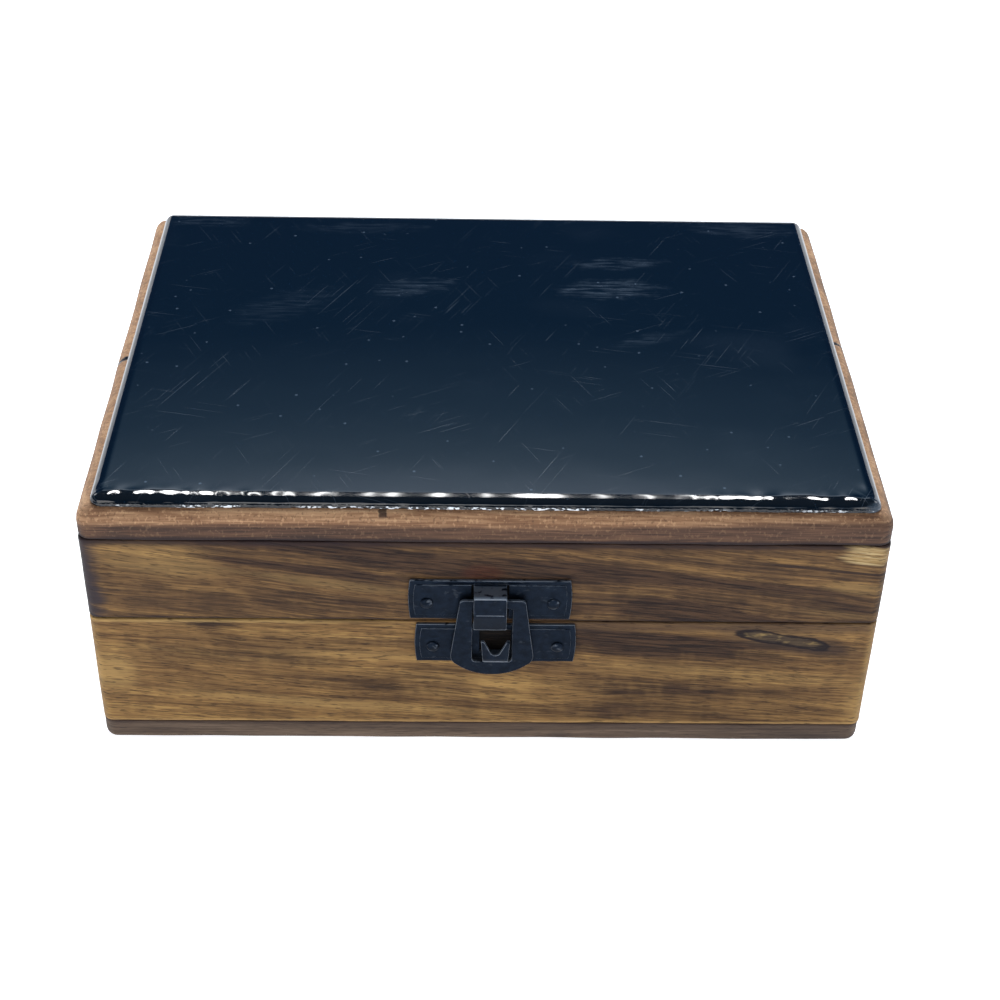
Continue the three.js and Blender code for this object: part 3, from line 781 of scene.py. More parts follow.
def poured_lacquer():
    material, start = new_finish("poured_lacquer")
    x, y, z = place_in_mm(start)
    point = joined(x, y, z)
    ragged = mottle(point, (3.4, 2.6, 3), 81, detail=4, rough=0.65)
    streaks = mottle(point, (6, 0.7, 3), 82, detail=3)
    cloud = mottle(point, (34, 26, 20), 83, detail=2)
    smeared = step(cloud, 0.56, 0.8) * 0.08
    for middle, half, degrees, strength in SMUDGES:
        patch = smudge(x, y, middle, half, degrees, ragged)
        smeared = smeared + patch * strength * step(streaks, 0.36, 0.66)
    scratched = hair_scratches(x, y, z, 62, 84, 0.745)
    for degrees, seed, rarity in ((28, 86, 0.75), (118, 88, 0.76), (-12, 90, 0.77)):
        scratched = scratched + hair_scratches(x, y, z, degrees, seed, rarity)
    cells = start.add("ShaderNodeTexVoronoi", inputs={"Vector": point, "Scale": 0.22})
    speck = step(cells, 0.085, 0.04)
    worn_corner = step(x - y + (ragged - 0.5) * 8, 122, 127)
    haze = smeared * 0.3 + scratched * 0.2 + speck * 0.35 + worn_corner * 0.4
    tint = blend(haze, color(1, 4, 10), color(92, 106, 120))
    swell = mottle(point, (16, 14, 14), 95, detail=1)
    rim = step(z, plank_high.z + 1.0, plank_high.z + 0.5)
    rim_relief = mottle(point, (0.9, 0.7, 0.5), 96, detail=2) * rim
    # White flecks low on the rim: painted highlights that stand for glints.
    where_glints = step(mottle(point, (9, 6, 4), 97, detail=1), 0.42, 0.6)
    painted_glints = step(rim_relief, 0.5, 0.58) * where_glints
    tint = blend(painted_glints, tint, color(214, 218, 222))
    coat_surface(
        start,
        Base_Color=tint,
        Roughness=0.05 + smeared * 0.12 + scratched * 0.15 + worn_corner * 0.35,
        Normal=bump(swell, 0.06, strength=0.25, under=bump(rim_relief, 0.35, strength=0.8)),
        IOR=1.5,
    )
    return material


lacquer_finish = poured_lacquer()
print("smudges on the lid:", len(SMUDGES))

# %% [markdown]
# ## Blackened steel
#
# The latch and hinges are thin pressed steel, chemically blackened and oiled. The metal is
# dark with a blue cast, slightly blotchy, and rubbed back to grey where fingers meet an
# edge. One recipe makes three finishes that differ in how much grey they get: little on flat
# faces, more on the heads of nails, and most on faces that round over an edge or look up,
# where the grey is partly wear and partly a painted highlight. Noise decides where the bare
# steel shows.


# %% Steel finishes
def blackened_steel(name, wear_and_highlight):
    material, start = new_finish(name)
    x, y, z = place_in_mm(start)
    point = joined(x, y, z)
    blotch = mottle(point, (1.5, 1.5, 1.3), 101, detail=4, rough=0.6)
    fine = mottle(point, (0.35, 0.35, 0.35), 102, detail=2)
    tint = blend(step(blotch, 0.3, 0.7), color(6, 15, 26), color(16, 26, 39))
    # Grey bare steel: wear, and at the larger amounts also a painted highlight on edges and
    # upward faces.
    rubbed_and_highlit = step(mottle(point, (1.6, 1.0, 1.0), 103, detail=3), 0.66 - wear_and_highlight, 0.8 - wear_and_highlight)
    rubbed_and_highlit = rubbed_and_highlit * wear_and_highlight * 1.6
    tint = blend(rubbed_and_highlit, tint, color(136, 144, 154))
    grit = bump(fine, 0.03, strength=0.5)
    coat_surface(
        start,
        Base_Color=tint,
        Metallic=0.9 - rubbed_and_highlit * 0.5,
        Roughness=0.36 + blotch * 0.22 - rubbed_and_highlit * 0.1,
        Normal=bump(blotch, 0.08, strength=0.4, under=grit),
    )
    return material


steel_finish = blackened_steel("blackened_steel", 0.04)
nail_finish = blackened_steel("blackened_nail", 0.14)
# The edge finish: rubbed grey that is partly wear and partly a painted highlight.
edge_wear_highlight_finish = blackened_steel("steel_edge_wear_and_highlight", 0.34)
print("steel finishes:", steel_finish.name, nail_finish.name, edge_wear_highlight_finish.name)

# %% [markdown]
# ## Boards
#
# A board is a block with softened edges. A cube with a bevel would look machined, and these
# boards were sanded by hand. So each is built from level rings that follow the board's plan:
# the rings draw in over the rounded edges, and slow noise moves them by a tenth of a
# millimetre or so. The plan has arcs at its four corners and a point every few millimetres.


# %% Plan of a board
CORNER_STEPS = 6
SMALLEST_TURN = 0.02 * MM


def plan_points(low, high, radii, inset, spacing):
    """The plan at one inset, as points. Every inset gives the same number of points."""
    corners = [(low.x, low.y), (high.x, low.y), (high.x, high.y), (low.x, high.y)]
    arcs = []
    for (x, y), first, radius in zip(corners, (180, 270, 0, 90), radii):
        turn = max(radius - inset, SMALLEST_TURN)
        toward_x = 1 if x == low.x else -1
        toward_y = 1 if y == low.y else -1
        center = Vector((x + toward_x * (inset + turn), y + toward_y * (inset + turn)))
        angles = [math.radians(first + 90 * i / CORNER_STEPS) for i in range(CORNER_STEPS + 1)]
        arcs.append([center + Vector((math.cos(a), math.sin(a))) * turn for a in angles])
    sides = [high.x - low.x, high.y - low.y] * 2
    points = []
    for i, arc in enumerate(arcs):
        points += arc
        parts = max(2, round(sides[i] / spacing))
        following = arcs[(i + 1) % 4][0]
        points += [arc[-1].lerp(following, j / parts) for j in range(1, parts)]
    return points


# %% Rings, finished pieces and hand sanding
EDGE_STEPS = 5


def quarter_round(width, height):
    """(inset, rise) from the flat face to the side of the board."""
    angles = [QUARTER * i / EDGE_STEPS for i in range(EDGE_STEPS + 1)]
    return [(width * (1 - math.sin(a)), height * (1 - math.cos(a))) for a in angles]


def stack_rings(rings):
    """A closed mesh from rings of equal length, with a flat face at each end."""
    mesh = bmesh.new()
    loops = [[mesh.verts.new(point) for point in ring] for ring in rings]
    mesh.faces.new(reversed(loops[0]))
    bridge(mesh, loops)
    mesh.faces.new(loops[-1])
    bmesh.ops.recalc_face_normals(mesh, faces=mesh.faces)
    return mesh


def finish_piece(name, mesh, finish, body, nodes, smooth_angle=40):
    """Turn a bmesh into the object that rides on a body and stands for the CAD nodes."""
    data = bpy.data.meshes.new(name)
    mesh.to_mesh(data)
    mesh.free()
    for material in finish:
        data.materials.append(material)
    data.polygons.foreach_set("use_smooth", [True] * len(data.polygons))
    data.set_sharp_from_angle(angle=math.radians(smooth_angle))
    piece = bpy.data.objects.new(name, data)
    bpy.context.scene.collection.objects.link(piece)
    weighted = piece.modifiers.new("flat_faces", "WEIGHTED_NORMAL")
    weighted.keep_sharp = True
    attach(piece, body)
    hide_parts(*nodes)
    return piece


def wobble(mesh, amount, size, seed):
    """Hand sanding: every point moves a little, neighbours together."""
    shift = Vector((seed * 13.7, seed * 5.9, seed * 9.1))
    for vertex in mesh.verts:
        vertex.co += noise.noise_vector(vertex.co / (size * MM) + shift) * amount * MM


# %% Walls and rails
BOARD_SPACING = 2.5 * MM
OUTER_CORNER, INNER_CORNER = 2.0 * MM, 0.4 * MM
CRISP = (0.35 * MM, 0.35 * MM)


def board_rings(low, high, radii, bottom, top, levels=6):
    """Rings of a board whose lower and upper edges are rounded by (width, height)."""
    under = quarter_round(*bottom)
    over = list(reversed(quarter_round(*top)))
    sections = [(inset, low.z + rise) for inset, rise in under]
    first, last = low.z + bottom[1], high.z - top[1]
    sections += [(0.0, first + (last - first) * i / levels) for i in range(1, levels)]
    sections += [(inset, high.z - rise) for inset, rise in over]
    rings = []
    for inset, z in sections:
        plan = plan_points(low, high, radii, inset, BOARD_SPACING)
        rings.append([Vector((p.x, p.y, z)) for p in plan])
    return rings


def wall(node, finish, body, outer_corners, seed):
    """A wall or rail: crisp edges, and round corners where it is on the box's outside."""
    low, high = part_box(node)
    radii = [OUTER_CORNER if corner in outer_corners else INNER_CORNER for corner in range(4)]
    mesh = stack_rings(board_rings(low, high, radii, CRISP, CRISP))
    wobble(mesh, 0.10, 9, seed)
    return finish_piece(f"{node}_wood", mesh, [finish], body, [node])


FRONT_CORNERS, BACK_CORNERS = (0, 1), (2, 3)
WALLS = [
    ("base_front_wall", "base_front", "base", FRONT_CORNERS),
    ("base_back_wall", "long", "base", BACK_CORNERS),
    ("base_left_wall", "short", "base", ()),
    ("base_right_wall", "short", "base", ()),
    ("lid_front_rail", "lid_front", "lid", FRONT_CORNERS),
    ("lid_back_rail", "long", "lid", BACK_CORNERS),
    ("lid_left_rail", "short", "lid", ()),
    ("lid_right_rail", "short", "lid", ()),
]
for order, (node, finish, body, corners) in enumerate(WALLS):
    piece = wall(node, torched[finish], body, corners, order + 1)
    print(piece.name, len(piece.data.vertices), "points")

# %% [markdown]
# The bottom board is one rounded slab. The lid board is glued up from two planks, so it is
# built as one slab too and then sawn along the skewed joint, which keeps the rounding in
# line across both planks.


# %% Bottom board and lid planks
GLUED_EDGE = (0.4 * MM, 0.4 * MM)
BOTTOM_EDGE, BOTTOM_CORNER = (1.6 * MM, 1.6 * MM), 2.5 * MM
LID_EDGE, LID_CORNER = (2.8 * MM, 2.8 * MM), 2.6 * MM
SAW_HALF = 0.15 * MM


def slab(low, high, corner, bottom, top, seed):
    """A sanded board with four round corners. Sanding never takes it below its flat face."""
    mesh = stack_rings(board_rings(low, high, [corner] * 4, bottom, top, levels=3))
    wobble(mesh, 0.16, 14, seed)
    for vertex in mesh.verts:
        vertex.co.z = max(vertex.co.z, low.z)
    return mesh


low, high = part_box("bottom_board")
mesh = slab(low, high, BOTTOM_CORNER, BOTTOM_EDGE, GLUED_EDGE, 21)
node = "bottom_board"
piece = finish_piece(f"{node}_wood", mesh, [bottom_finish], "base", [node])
print(piece.name, len(piece.data.vertices), "points")

lid_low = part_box("lid_board_front")[0]
lid_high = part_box("lid_board_rear")[1]
for node, side in (("lid_board_front", 1), ("lid_board_rear", -1)):
    mesh = slab(lid_low, lid_high, LID_CORNER, GLUED_EDGE, LID_EDGE, 22)
    across = Vector((-JOINT_SLOPE, 1, 0)).normalized() * side
    through = Vector((0, JOINT_MIDDLE * MM, 0)) - across * SAW_HALF
    everything = mesh.verts[:] + mesh.edges[:] + mesh.faces[:]
    cut = bmesh.ops.bisect_plane(
        mesh, geom=everything, plane_co=through, plane_no=across, clear_outer=True)
    edges = [e for e in cut["geom_cut"] if isinstance(e, bmesh.types.BMEdge)]
    bmesh.ops.holes_fill(mesh, edges=edges)
    bmesh.ops.recalc_face_normals(mesh, faces=mesh.faces)
    piece = finish_piece(f"{node}_wood", mesh, [lid_board_finish], "lid", [node])
    print(piece.name, len(piece.data.vertices), "points")

# %% [markdown]
# ## The lacquer pool
#
# The pour set as a thick skin with a rolled edge, ragged where it ran out over the wood and
# rippled at the two front corners. Only geometry can bend the glints along that edge, so
# this mesh is dense: rings every fraction of a millimetre near the edge, moved up and down
# by the ripple and sideways by noise, and one flat face in the middle, where the surface
# levelled itself.


# %% Lacquer top
POOL_ROLL, POOL_RIM, POOL_CORNER = 2.6 * MM, 0.2 * MM, 2.0 * MM
POOL_SPACING = 0.45 * MM
ROLL_STEPS = 14
FLAT_INSETS = [2.9, 3.3, 3.8, 4.4, 5.1, 6.0, 7.2, 9.0, 11.5, 15.0]
RIPPLE_HEIGHT = 0.42 * MM


def hill(distance, width):
    """1 at no distance, falling softly to 0 over about twice the width."""
    return math.exp(-((distance / (width * MM)) ** 2))


def ripple(point, inset, low, high):
    """The waves that the pour left at its front corners, highest on the rolled edge."""
    from_corner = min(abs(point.x - low.x), abs(point.x - high.x))
    corner = hill(from_corner, 23) * hill(point.y - low.y, 5)
    rough = noise.noise(point / (3.4 * MM) + Vector((0, 31, 0)))
    return RIPPLE_HEIGHT * corner * rough * hill(inset, 2.4)


def run_out(point, low, middle, level):
    """How far, and which way, the lacquer has crept over the wood. Most at the front."""
    ragged = noise.noise(point / (2.1 * MM)) * 0.35 + noise.noise(point / (17 * MM)) * 0.6
    reach = 1.0 if point.y < low.y + 4 * MM else 0.3
    outward = (point - middle).normalized()
    return Vector((outward.x, outward.y, 0)) * ragged * reach * MM * max(0.0, 0.6 - level)


def lacquer_pool():
    low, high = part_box("lacquer_top")
    middle = (low + high) / 2
    height = high.z - low.z
    roll = height - POOL_RIM
    sections = [(0.25 * MM, 0.0), (0.0, 0.0)]
    for i in range(ROLL_STEPS + 1):
        angle = QUARTER * i / ROLL_STEPS
        sections.append((POOL_ROLL * (1 - math.cos(angle)), POOL_RIM + roll * math.sin(angle)))
    sections += [(inset * MM, height) for inset in FLAT_INSETS]
    rings = []
    for inset, rise in sections:
        level = rise / height
        ring = []
        for p in plan_points(low, high, [POOL_CORNER] * 4, inset, POOL_SPACING):
            place = Vector((p.x, p.y, 0))
            place += run_out(place, low, middle, level)
            swell = ripple(place, inset, low, high) * level
            ring.append(Vector((place.x, place.y, low.z + rise + swell)))
        rings.append(ring)
    return finish_piece(
        "lacquer_pool", stack_rings(rings), [lacquer_finish], "lid",
        ["lacquer_top"], smooth_angle=85)


pool = lacquer_pool()
print(pool.name, len(pool.data.vertices), "points")

# %% [markdown]
# ## Sheet metal
#
# A pressed plate is a flat outline with holes and a soft edge all round. A 2D curve object
# gives exactly that: it fills the outline, gives it thickness and rounds its edge, and a
# bent strip is the same thing seen from the side. The curves are drawn in millimetres,
# because filling a curve is unreliable at real size in metres, and scaled down at the end.
# Strips and plates are then joined with a Boolean into one closed skin.


# %% Plates and strips from 2D curves
FACE_ON = Matrix(((1, 0, 0, 0), (0, 0, 1, 0), (0, 1, 0, 0), (0, 0, 0, 1)))
SIDE_ON = Matrix(((0, 0, 1, 0), (1, 0, 0, 0), (0, 1, 0, 0), (0, 0, 0, 1)))


def evaluated_mesh(item):
    """The object's mesh with its modifiers or curve settings worked in."""
    graph = bpy.context.evaluated_depsgraph_get()
    return bpy.data.meshes.new_from_object(item.evaluated_get(graph))


def cut_sheet(outlines, thickness, edge, view):
    """A solid in mm: outlines filled and thickened, edges rounded by `edge`."""
    data = bpy.data.curves.new("sheet", "CURVE")
    data.dimensions = "2D"
    data.fill_mode = "BOTH"
    data.extrude = thickness / 2 - edge
    data.bevel_depth = edge
    data.bevel_resolution = 2
    data.offset = -edge
    for points in outlines:
        spline = data.splines.new("POLY")
        spline.points.add(len(points) - 1)
        for knot_point, (u, v) in zip(spline.points, points):
            knot_point.co = (u, v, 0, 1)
        spline.use_cyclic_u = True
    drawing = bpy.data.objects.new("sheet", data)
    bpy.context.scene.collection.objects.link(drawing)
    solid = bmesh.new()
    solid.from_mesh(evaluated_mesh(drawing))
    bpy.data.objects.remove(drawing)
    bmesh.ops.remove_doubles(solid, verts=solid.verts, dist=1e-4)
    bmesh.ops.transform(solid, matrix=view, verts=solid.verts)
    bmesh.ops.recalc_face_normals(solid, faces=solid.faces)
    return solid


def shifted(solid, x=0.0, y=0.0):
    bmesh.ops.translate(solid, vec=(x, y, 0.0), verts=solid.verts)
    return solid


def combined(solids, operation="UNION"):
    """The first solid joined with, or cut by, the others."""
    items = []
    for solid in solids:
        data = bpy.data.meshes.new("part")
        solid.to_mesh(data)
        solid.free()
        items.append(bpy.data.objects.new("part", data))
        bpy.context.scene.collection.objects.link(items[-1])
    for other in items[1:]:
        boolean = items[0].modifiers.new("join", "BOOLEAN")
        boolean.operation = operation
        boolean.solver = "EXACT"
        boolean.object = other
    result = bmesh.new()
    result.from_mesh(evaluated_mesh(items[0]))
    for item in items:
        bpy.data.objects.remove(item)
    return result


def arc(center_x, center_y, radius, start, end, steps):
    angles = [math.radians(start + (end - start) * i / steps) for i in range(steps + 1)]
    return [(center_x + radius * math.cos(a), center_y + radius * math.sin(a)) for a in angles]


def curve_to(start, pull, end, steps=10):
    """Points of a quadratic curve, without its first one."""
    result = []
    for i in range(1, steps + 1):
        t = i / steps
        shares = ((1 - t) ** 2, start), (2 * t * (1 - t), pull), (t * t, end)
        result.append(tuple(sum(share * p[axis] for share, p in shares) for axis in (0, 1)))
    return result


def round_rectangle(left, bottom, right, top, radius):
    points = arc(left + radius, bottom + radius, radius, 180, 270, 5)
    points += arc(right - radius, bottom + radius, radius, 270, 360, 5)
    points += arc(right - radius, top - radius, radius, 0, 90, 5)
    return points + arc(left + radius, top - radius, radius, 90, 180, 5)


# %% Bent strips and finished steel pieces
BEND_STEPS = 6
NEARLY_FLAT = 0.93


def thickened(line, sheet):
    """The side view of a strip: its middle line, thickened on both sides."""
    left, right = [], []
    for i, point in enumerate(line):
        ahead = line[min(i + 1, len(line) - 1)] - line[max(i - 1, 0)]
        normal = Vector((-ahead.y, ahead.x)).normalized() * sheet / 2
        left.append(tuple(point + normal))
        right.append(tuple(point - normal))
    return left + right[::-1]


def bent_strip(corners, bend, sheet):
    """The side view of a strip that is bent at each corner of its middle line."""
    line = [Vector(corners[0])]
    for before, here, after in zip(corners, corners[1:], corners[2:]):
        here = Vector(here)
        start = here + (Vector(before) - here).normalized() * bend
        end = here + (Vector(after) - here).normalized() * bend
        line += [start] + [Vector(p) for p in curve_to(start, here, end, BEND_STEPS)]
    line.append(Vector(corners[-1]))
    return thickened(line, sheet)


def to_metres(solid, place, turn=Matrix.Identity(4)):
    """Turn, scale down from millimetres and put in place."""
    matrix = Matrix.Translation(place) @ Matrix.Scale(MM, 4) @ turn
    bmesh.ops.transform(solid, matrix=matrix, verts=solid.verts)


def steel_piece(name, solid, place, body, nodes):
    """Put a solid in place, and give its edges and upward faces the grey finish, partly wear
    and partly painted highlight.
    """
    to_metres(solid, place)
    bmesh.ops.dissolve_degenerate(solid, dist=1e-7, edges=solid.edges)
    solid.normal_update()
    for face in solid.faces:
        # Edges and upward faces get the grey finish: partly wear, partly painted highlight.
        flattest = max(abs(part) for part in face.normal)
        rubbed_and_highlit = flattest < NEARLY_FLAT or face.normal.z > NEARLY_FLAT
        face.material_index = 1 if rubbed_and_highlit else 0
    finishes = [steel_finish, edge_wear_highlight_finish]
    return finish_piece(name, solid, finishes, body, nodes, 35)


# %% [markdown]
# ## The hasp on the lid
#
# One strip of steel: a plate with slightly bulging ends and a pressed panel, and a tongue
# cut out of its middle that is folded out over the flap's bar, down, and back in. The flap
# hangs on that bar. Sizes below are the stampings' own, in millimetres, and places come
# from the CAD nodes.

# %% Stamping sizes
PLATE_SHEET, FLAP_SHEET = 0.8, 0.7
SOFT_EDGE, SHARP_EDGE = 0.16, 0.01
PLATE_BULGE, PLATE_NAIL_INSET, PLATE_NAIL_RISE = 0.7, 3.5, 3.9
NAIL_HOLE = 0.7
PANEL_INSET, PANEL_STEP, PANEL_EDGE = 0.95, 0.14, 0.08
CUTTER_DEPTH = 4
hasp_low, hasp_high = box_in_mm("hasp_plate")
flap_low, flap_high = box_in_mm("hasp_flap")
catch_low, catch_high = box_in_mm("catch_plate")
PLATE_WIDTH = hasp_high.x - hasp_low.x
PLATE_HEIGHT = hasp_high.z - hasp_low.z
PLATE_BACK = max(hasp_high.y, catch_high.y)
print("latch plates are", round(PLATE_WIDTH, 2), "by", round(PLATE_HEIGHT, 2))


# %% Latch plates
def plate_outline(inset=0.0):
    half = PLATE_WIDTH / 2 - PLATE_BULGE / 2 - inset
    low, high = inset, PLATE_HEIGHT - inset
    middle = (low + high) / 2
    points = [(-half, low), (half, low)]
    points += curve_to((half, low), (half + PLATE_BULGE, middle), (half, high))
    points += [(-half, high)]
    return points + curve_to((-half, high), (-half - PLATE_BULGE, middle), (-half, low))[:-1]


def nail_hole(x, z):
    return arc(x, z, NAIL_HOLE, 0, 345, 15)


def grown(points, amount):
    """A hole's outline moved outward from its middle."""
    middle = Vector([sum(p[k] for p in points) / len(points) for k in (0, 1)])
    result = []
    for p in points:
        away = Vector(p) - middle
        result.append(tuple(middle + away * (1 + amount / away.length)))
    return result


def nailed_plate(half_window, window_low, window_high):
    """A plate with two nail holes, a raised panel, and a window that its tongue left."""
    nail_x = PLATE_WIDTH / 2 - PLATE_NAIL_INSET
    holes = [nail_hole(side * nail_x, PLATE_NAIL_RISE) for side in (-1, 1)]
    rim_sheet, panel_sheet = PLATE_SHEET - PANEL_STEP, PLATE_SHEET - 0.1
    rim = cut_sheet([plate_outline(), *holes], rim_sheet, SOFT_EDGE, FACE_ON)
    panel_outlines = [plate_outline(PANEL_INSET), *[grown(hole, 0.02) for hole in holes]]
    panel = cut_sheet(panel_outlines, panel_sheet, PANEL_EDGE, FACE_ON)
    shifted(rim, y=-rim_sheet / 2)
    shifted(panel, y=-(PLATE_SHEET + 0.1) / 2)
    window = [
        (-half_window, window_low), (half_window, window_low),
        (half_window, window_high), (-half_window, window_high),
    ]
    cutter = shifted(cut_sheet([window], CUTTER_DEPTH, SHARP_EDGE, FACE_ON), y=-0.5)
    return combined([combined([rim, panel]), cutter], "DIFFERENCE")


# %% Hasp plate
HOOK_WIDTH, HOOK_SLIT, HOOK_TOP_DROP, HOOK_CREASE_DROP = 6.2, 0.45, 1.1, 5.9
HOOK_LEAN, HOOK_RETURN, HOOK_DROOP, HOOK_TOP_FALL = 0.75, 1.3, 0.9, 0.35
GROOVE_LIFT, GROOVE_HALF, GROOVE_DEPTH, GROOVE_INSET = 0.3, 0.2, 0.1, 0.45
HOOK_OUT = PLATE_BACK - hasp_low.y


def hook():
    """The folded tongue, with a scored line where its lower half leans back."""
    mid = PLATE_SHEET / 2
    out = HOOK_OUT - mid
    top = PLATE_HEIGHT - HOOK_TOP_DROP - mid
    low = mid - HOOK_DROOP
    side = bent_strip([
        (-mid, PLATE_HEIGHT - mid - 0.2),
        (-mid, top),
        (-out, top - HOOK_TOP_FALL),
        (-out, PLATE_HEIGHT - HOOK_CREASE_DROP),
        (-out + HOOK_LEAN, low),
        (-HOOK_RETURN, low),
    ], mid, PLATE_SHEET)
    tongue = cut_sheet([side], HOOK_WIDTH, SOFT_EDGE, SIDE_ON)
    crease = PLATE_HEIGHT - HOOK_CREASE_DROP + GROOVE_LIFT
    groove_side = [
        (-HOOK_OUT - GROOVE_DEPTH, crease + GROOVE_HALF),
        (-HOOK_OUT + GROOVE_DEPTH, crease),
        (-HOOK_OUT - GROOVE_DEPTH, crease - GROOVE_HALF),
    ]
    groove = cut_sheet([groove_side], HOOK_WIDTH - 2 * GROOVE_INSET, SHARP_EDGE, SIDE_ON)
    return combined([tongue, groove], "DIFFERENCE")


def hasp_plate():
    window_top = PLATE_HEIGHT - HOOK_TOP_DROP + 0.2
    plate = nailed_plate(HOOK_WIDTH / 2 + HOOK_SLIT, -1.0, window_top)
    solid = combined([plate, hook()])
    middle = (hasp_low.x + hasp_high.x) / 2
    place = Vector((middle, PLATE_BACK, hasp_low.z)) * MM
    return steel_piece("hasp_plate_steel", solid, place, "lid", ["hasp_plate"])


piece = hasp_plate()
print(piece.name, len(piece.data.vertices), "points")

# %% [markdown]
# The flap is a flat stamping like a keyhole cover: narrow at the bar, wide at the hips, and
# round at the bottom, with a tall slot that drops over the catch.


# %% Hasp flap
FLAP_BAR, FLAP_TOP_LEG, FLAP_HIP_LEG, FLAP_TOE_LEG = 1.9, 2.5, 4.1, 3.2
FLAP_HIP_RISE, FLAP_TOE_RISE, FLAP_RIM = 4.9, 2.7, 3.25
FLAP_CORNER, SLOT_CORNER = 1.2, 0.7


def hasp_flap():
    """Drawn up from the flap's lowest point: its right side, and the same for the left."""
    top = flap_high.z - flap_low.z
    slot_x = (flap_high.x - flap_low.x) / 2 - FLAP_HIP_LEG
    top_x, hip_x, toe_x = (slot_x + leg for leg in (FLAP_TOP_LEG, FLAP_HIP_LEG, FLAP_TOE_LEG))
    toe_radius = (toe_x ** 2 + FLAP_TOE_RISE ** 2) / (2 * FLAP_TOE_RISE)
    toe_angle = math.degrees(math.asin(toe_x / toe_radius))
    round_from, shoulder = top_x - FLAP_CORNER, top - FLAP_CORNER
    hip_pull = FLAP_TOE_RISE + FLAP_CORNER / 2
    outline = [(-round_from, top), (round_from, top)]
    outline += curve_to((round_from, top), (top_x, top), (top_x, shoulder))
    outline += [(hip_x, FLAP_HIP_RISE)]
    outline += curve_to((hip_x, FLAP_HIP_RISE), (hip_x, hip_pull), (toe_x, FLAP_TOE_RISE))
    outline += arc(0, toe_radius, toe_radius, -90 + toe_angle, -90 - toe_angle, 32)[1:]
    outline += curve_to((-toe_x, FLAP_TOE_RISE), (-hip_x, hip_pull), (-hip_x, FLAP_HIP_RISE))
    outline += [(-top_x, shoulder)]
    outline += curve_to((-top_x, shoulder), (-top_x, top), (-round_from, top))[:-1]
    slot = round_rectangle(-slot_x, FLAP_RIM, slot_x, top - FLAP_BAR, SLOT_CORNER)
    solid = cut_sheet([outline, slot], FLAP_SHEET, SOFT_EDGE, FACE_ON)
    middle = (flap_low + flap_high) / 2
    place = Vector((middle.x, middle.y, flap_low.z)) * MM
    return steel_piece("hasp_flap_steel", solid, place, "hasp", ["hasp_flap"])


piece = hasp_flap()
print(piece.name, len(piece.data.vertices), "points")

# %% [markdown]
# ## The catch on the base
#
# The lower plate has the same outline. Its tongue is folded straight out and up, and its
# end is cut to a V, so that the flap's slot slides over it and rests in the fold. The sides
# of the two tips are kept longer than the soft edge, or the outline couldn't be filled.


# %% Catch plate
CATCH_WIDTH, CATCH_ROOT, CATCH_HEIGHT, CATCH_LEAN = 5.5, 1.7, 5.6, 0.35
CATCH_NOTCH, NOTCH_RADIUS = 3.6, 1.0
CATCH_FOOT_INSET, CATCH_FOOT_RISE = 0.3, 1.9
CATCH_WINDOW_TOP, CATCH_MARGIN = 1.1, 0.3
CATCH_OUT = PLATE_BACK - catch_low.y


def catch_foot(out):
    """The tongue seen from the side: out from the plate, then up."""
    fold = -out + CATCH_LEAN
    level = CATCH_ROOT + PLATE_SHEET / 2
    rise = (-out + CATCH_LEAN * 0.7, CATCH_ROOT + CATCH_FOOT_RISE)
    side = bent_strip(
        [(-PLATE_SHEET / 2, level), (fold, level), rise], PLATE_SHEET / 2, PLATE_SHEET)
    return cut_sheet([side], CATCH_WIDTH - 2 * CATCH_FOOT_INSET, SOFT_EDGE, SIDE_ON)


def catch_blade(out):
    """The upright end of the tongue with its V, leaning out toward its two tips."""
    half = CATCH_WIDTH / 2
    foot_half = half - CATCH_FOOT_INSET
    foot = CATCH_ROOT + 0.9
    tip = CATCH_ROOT + CATCH_HEIGHT
    notch = tip - CATCH_NOTCH
    outline = [
        (-foot_half, foot), (foot_half, foot),
        (half, tip - 0.25), (half - 0.2, tip), (half - 0.6, tip - 0.1),
        *arc(0, notch + NOTCH_RADIUS, NOTCH_RADIUS, -38, -142, 8),
        (-half + 0.6, tip - 0.1), (-half + 0.2, tip), (-half, tip - 0.25),
    ]
    blade = cut_sheet([outline], PLATE_SHEET, SOFT_EDGE, FACE_ON)
    for vertex in blade.verts:
        rise = (vertex.co.z - CATCH_ROOT) / CATCH_HEIGHT
        vertex.co.y -= out - CATCH_LEAN * (1 - rise)
    return blade


def catch_plate():
    out = CATCH_OUT - PLATE_SHEET / 2
    window_low = CATCH_ROOT + PLATE_SHEET - 0.1
    window_high = PLATE_HEIGHT - CATCH_WINDOW_TOP
    plate = nailed_plate(CATCH_WIDTH / 2 + CATCH_MARGIN, window_low, window_high)
    solid = combined([plate, catch_foot(out), catch_blade(out)])
    middle = (catch_low.x + catch_high.x) / 2
    place = Vector((middle, PLATE_BACK, catch_low.z)) * MM
    return steel_piece("catch_plate_steel", solid, place, "base", ["catch_plate"])


piece = catch_plate()
print(piece.name, len(piece.data.vertices), "points")

# %% [markdown]
# ## Hinges
#
# Two small butt hinges join the trays at the back. A leaf is flat sheet whose end curls
# around the pin; the base leaf curls in two outer knuckles and the lid leaf in one between
# them. Each knuckle is a curled strip of its own width, joined to the flat part. A leaf is
# drawn from the pin's axis, in millimetres.

# %% Hinge leaves
LEAF_HEIGHT, LEAF_SHEET, LEAF_EDGE, LEAF_CORNER = 8.6, 0.8, 0.12, 0.9
LEAF_CURL, CURL_TURN, CURL_LAP, CURL_EDGE = 1.2, 275, 1.4, 0.1
KNUCKLE, KNUCKLE_GAP = 7.4, 0.2
HANDS = ("left", "right")


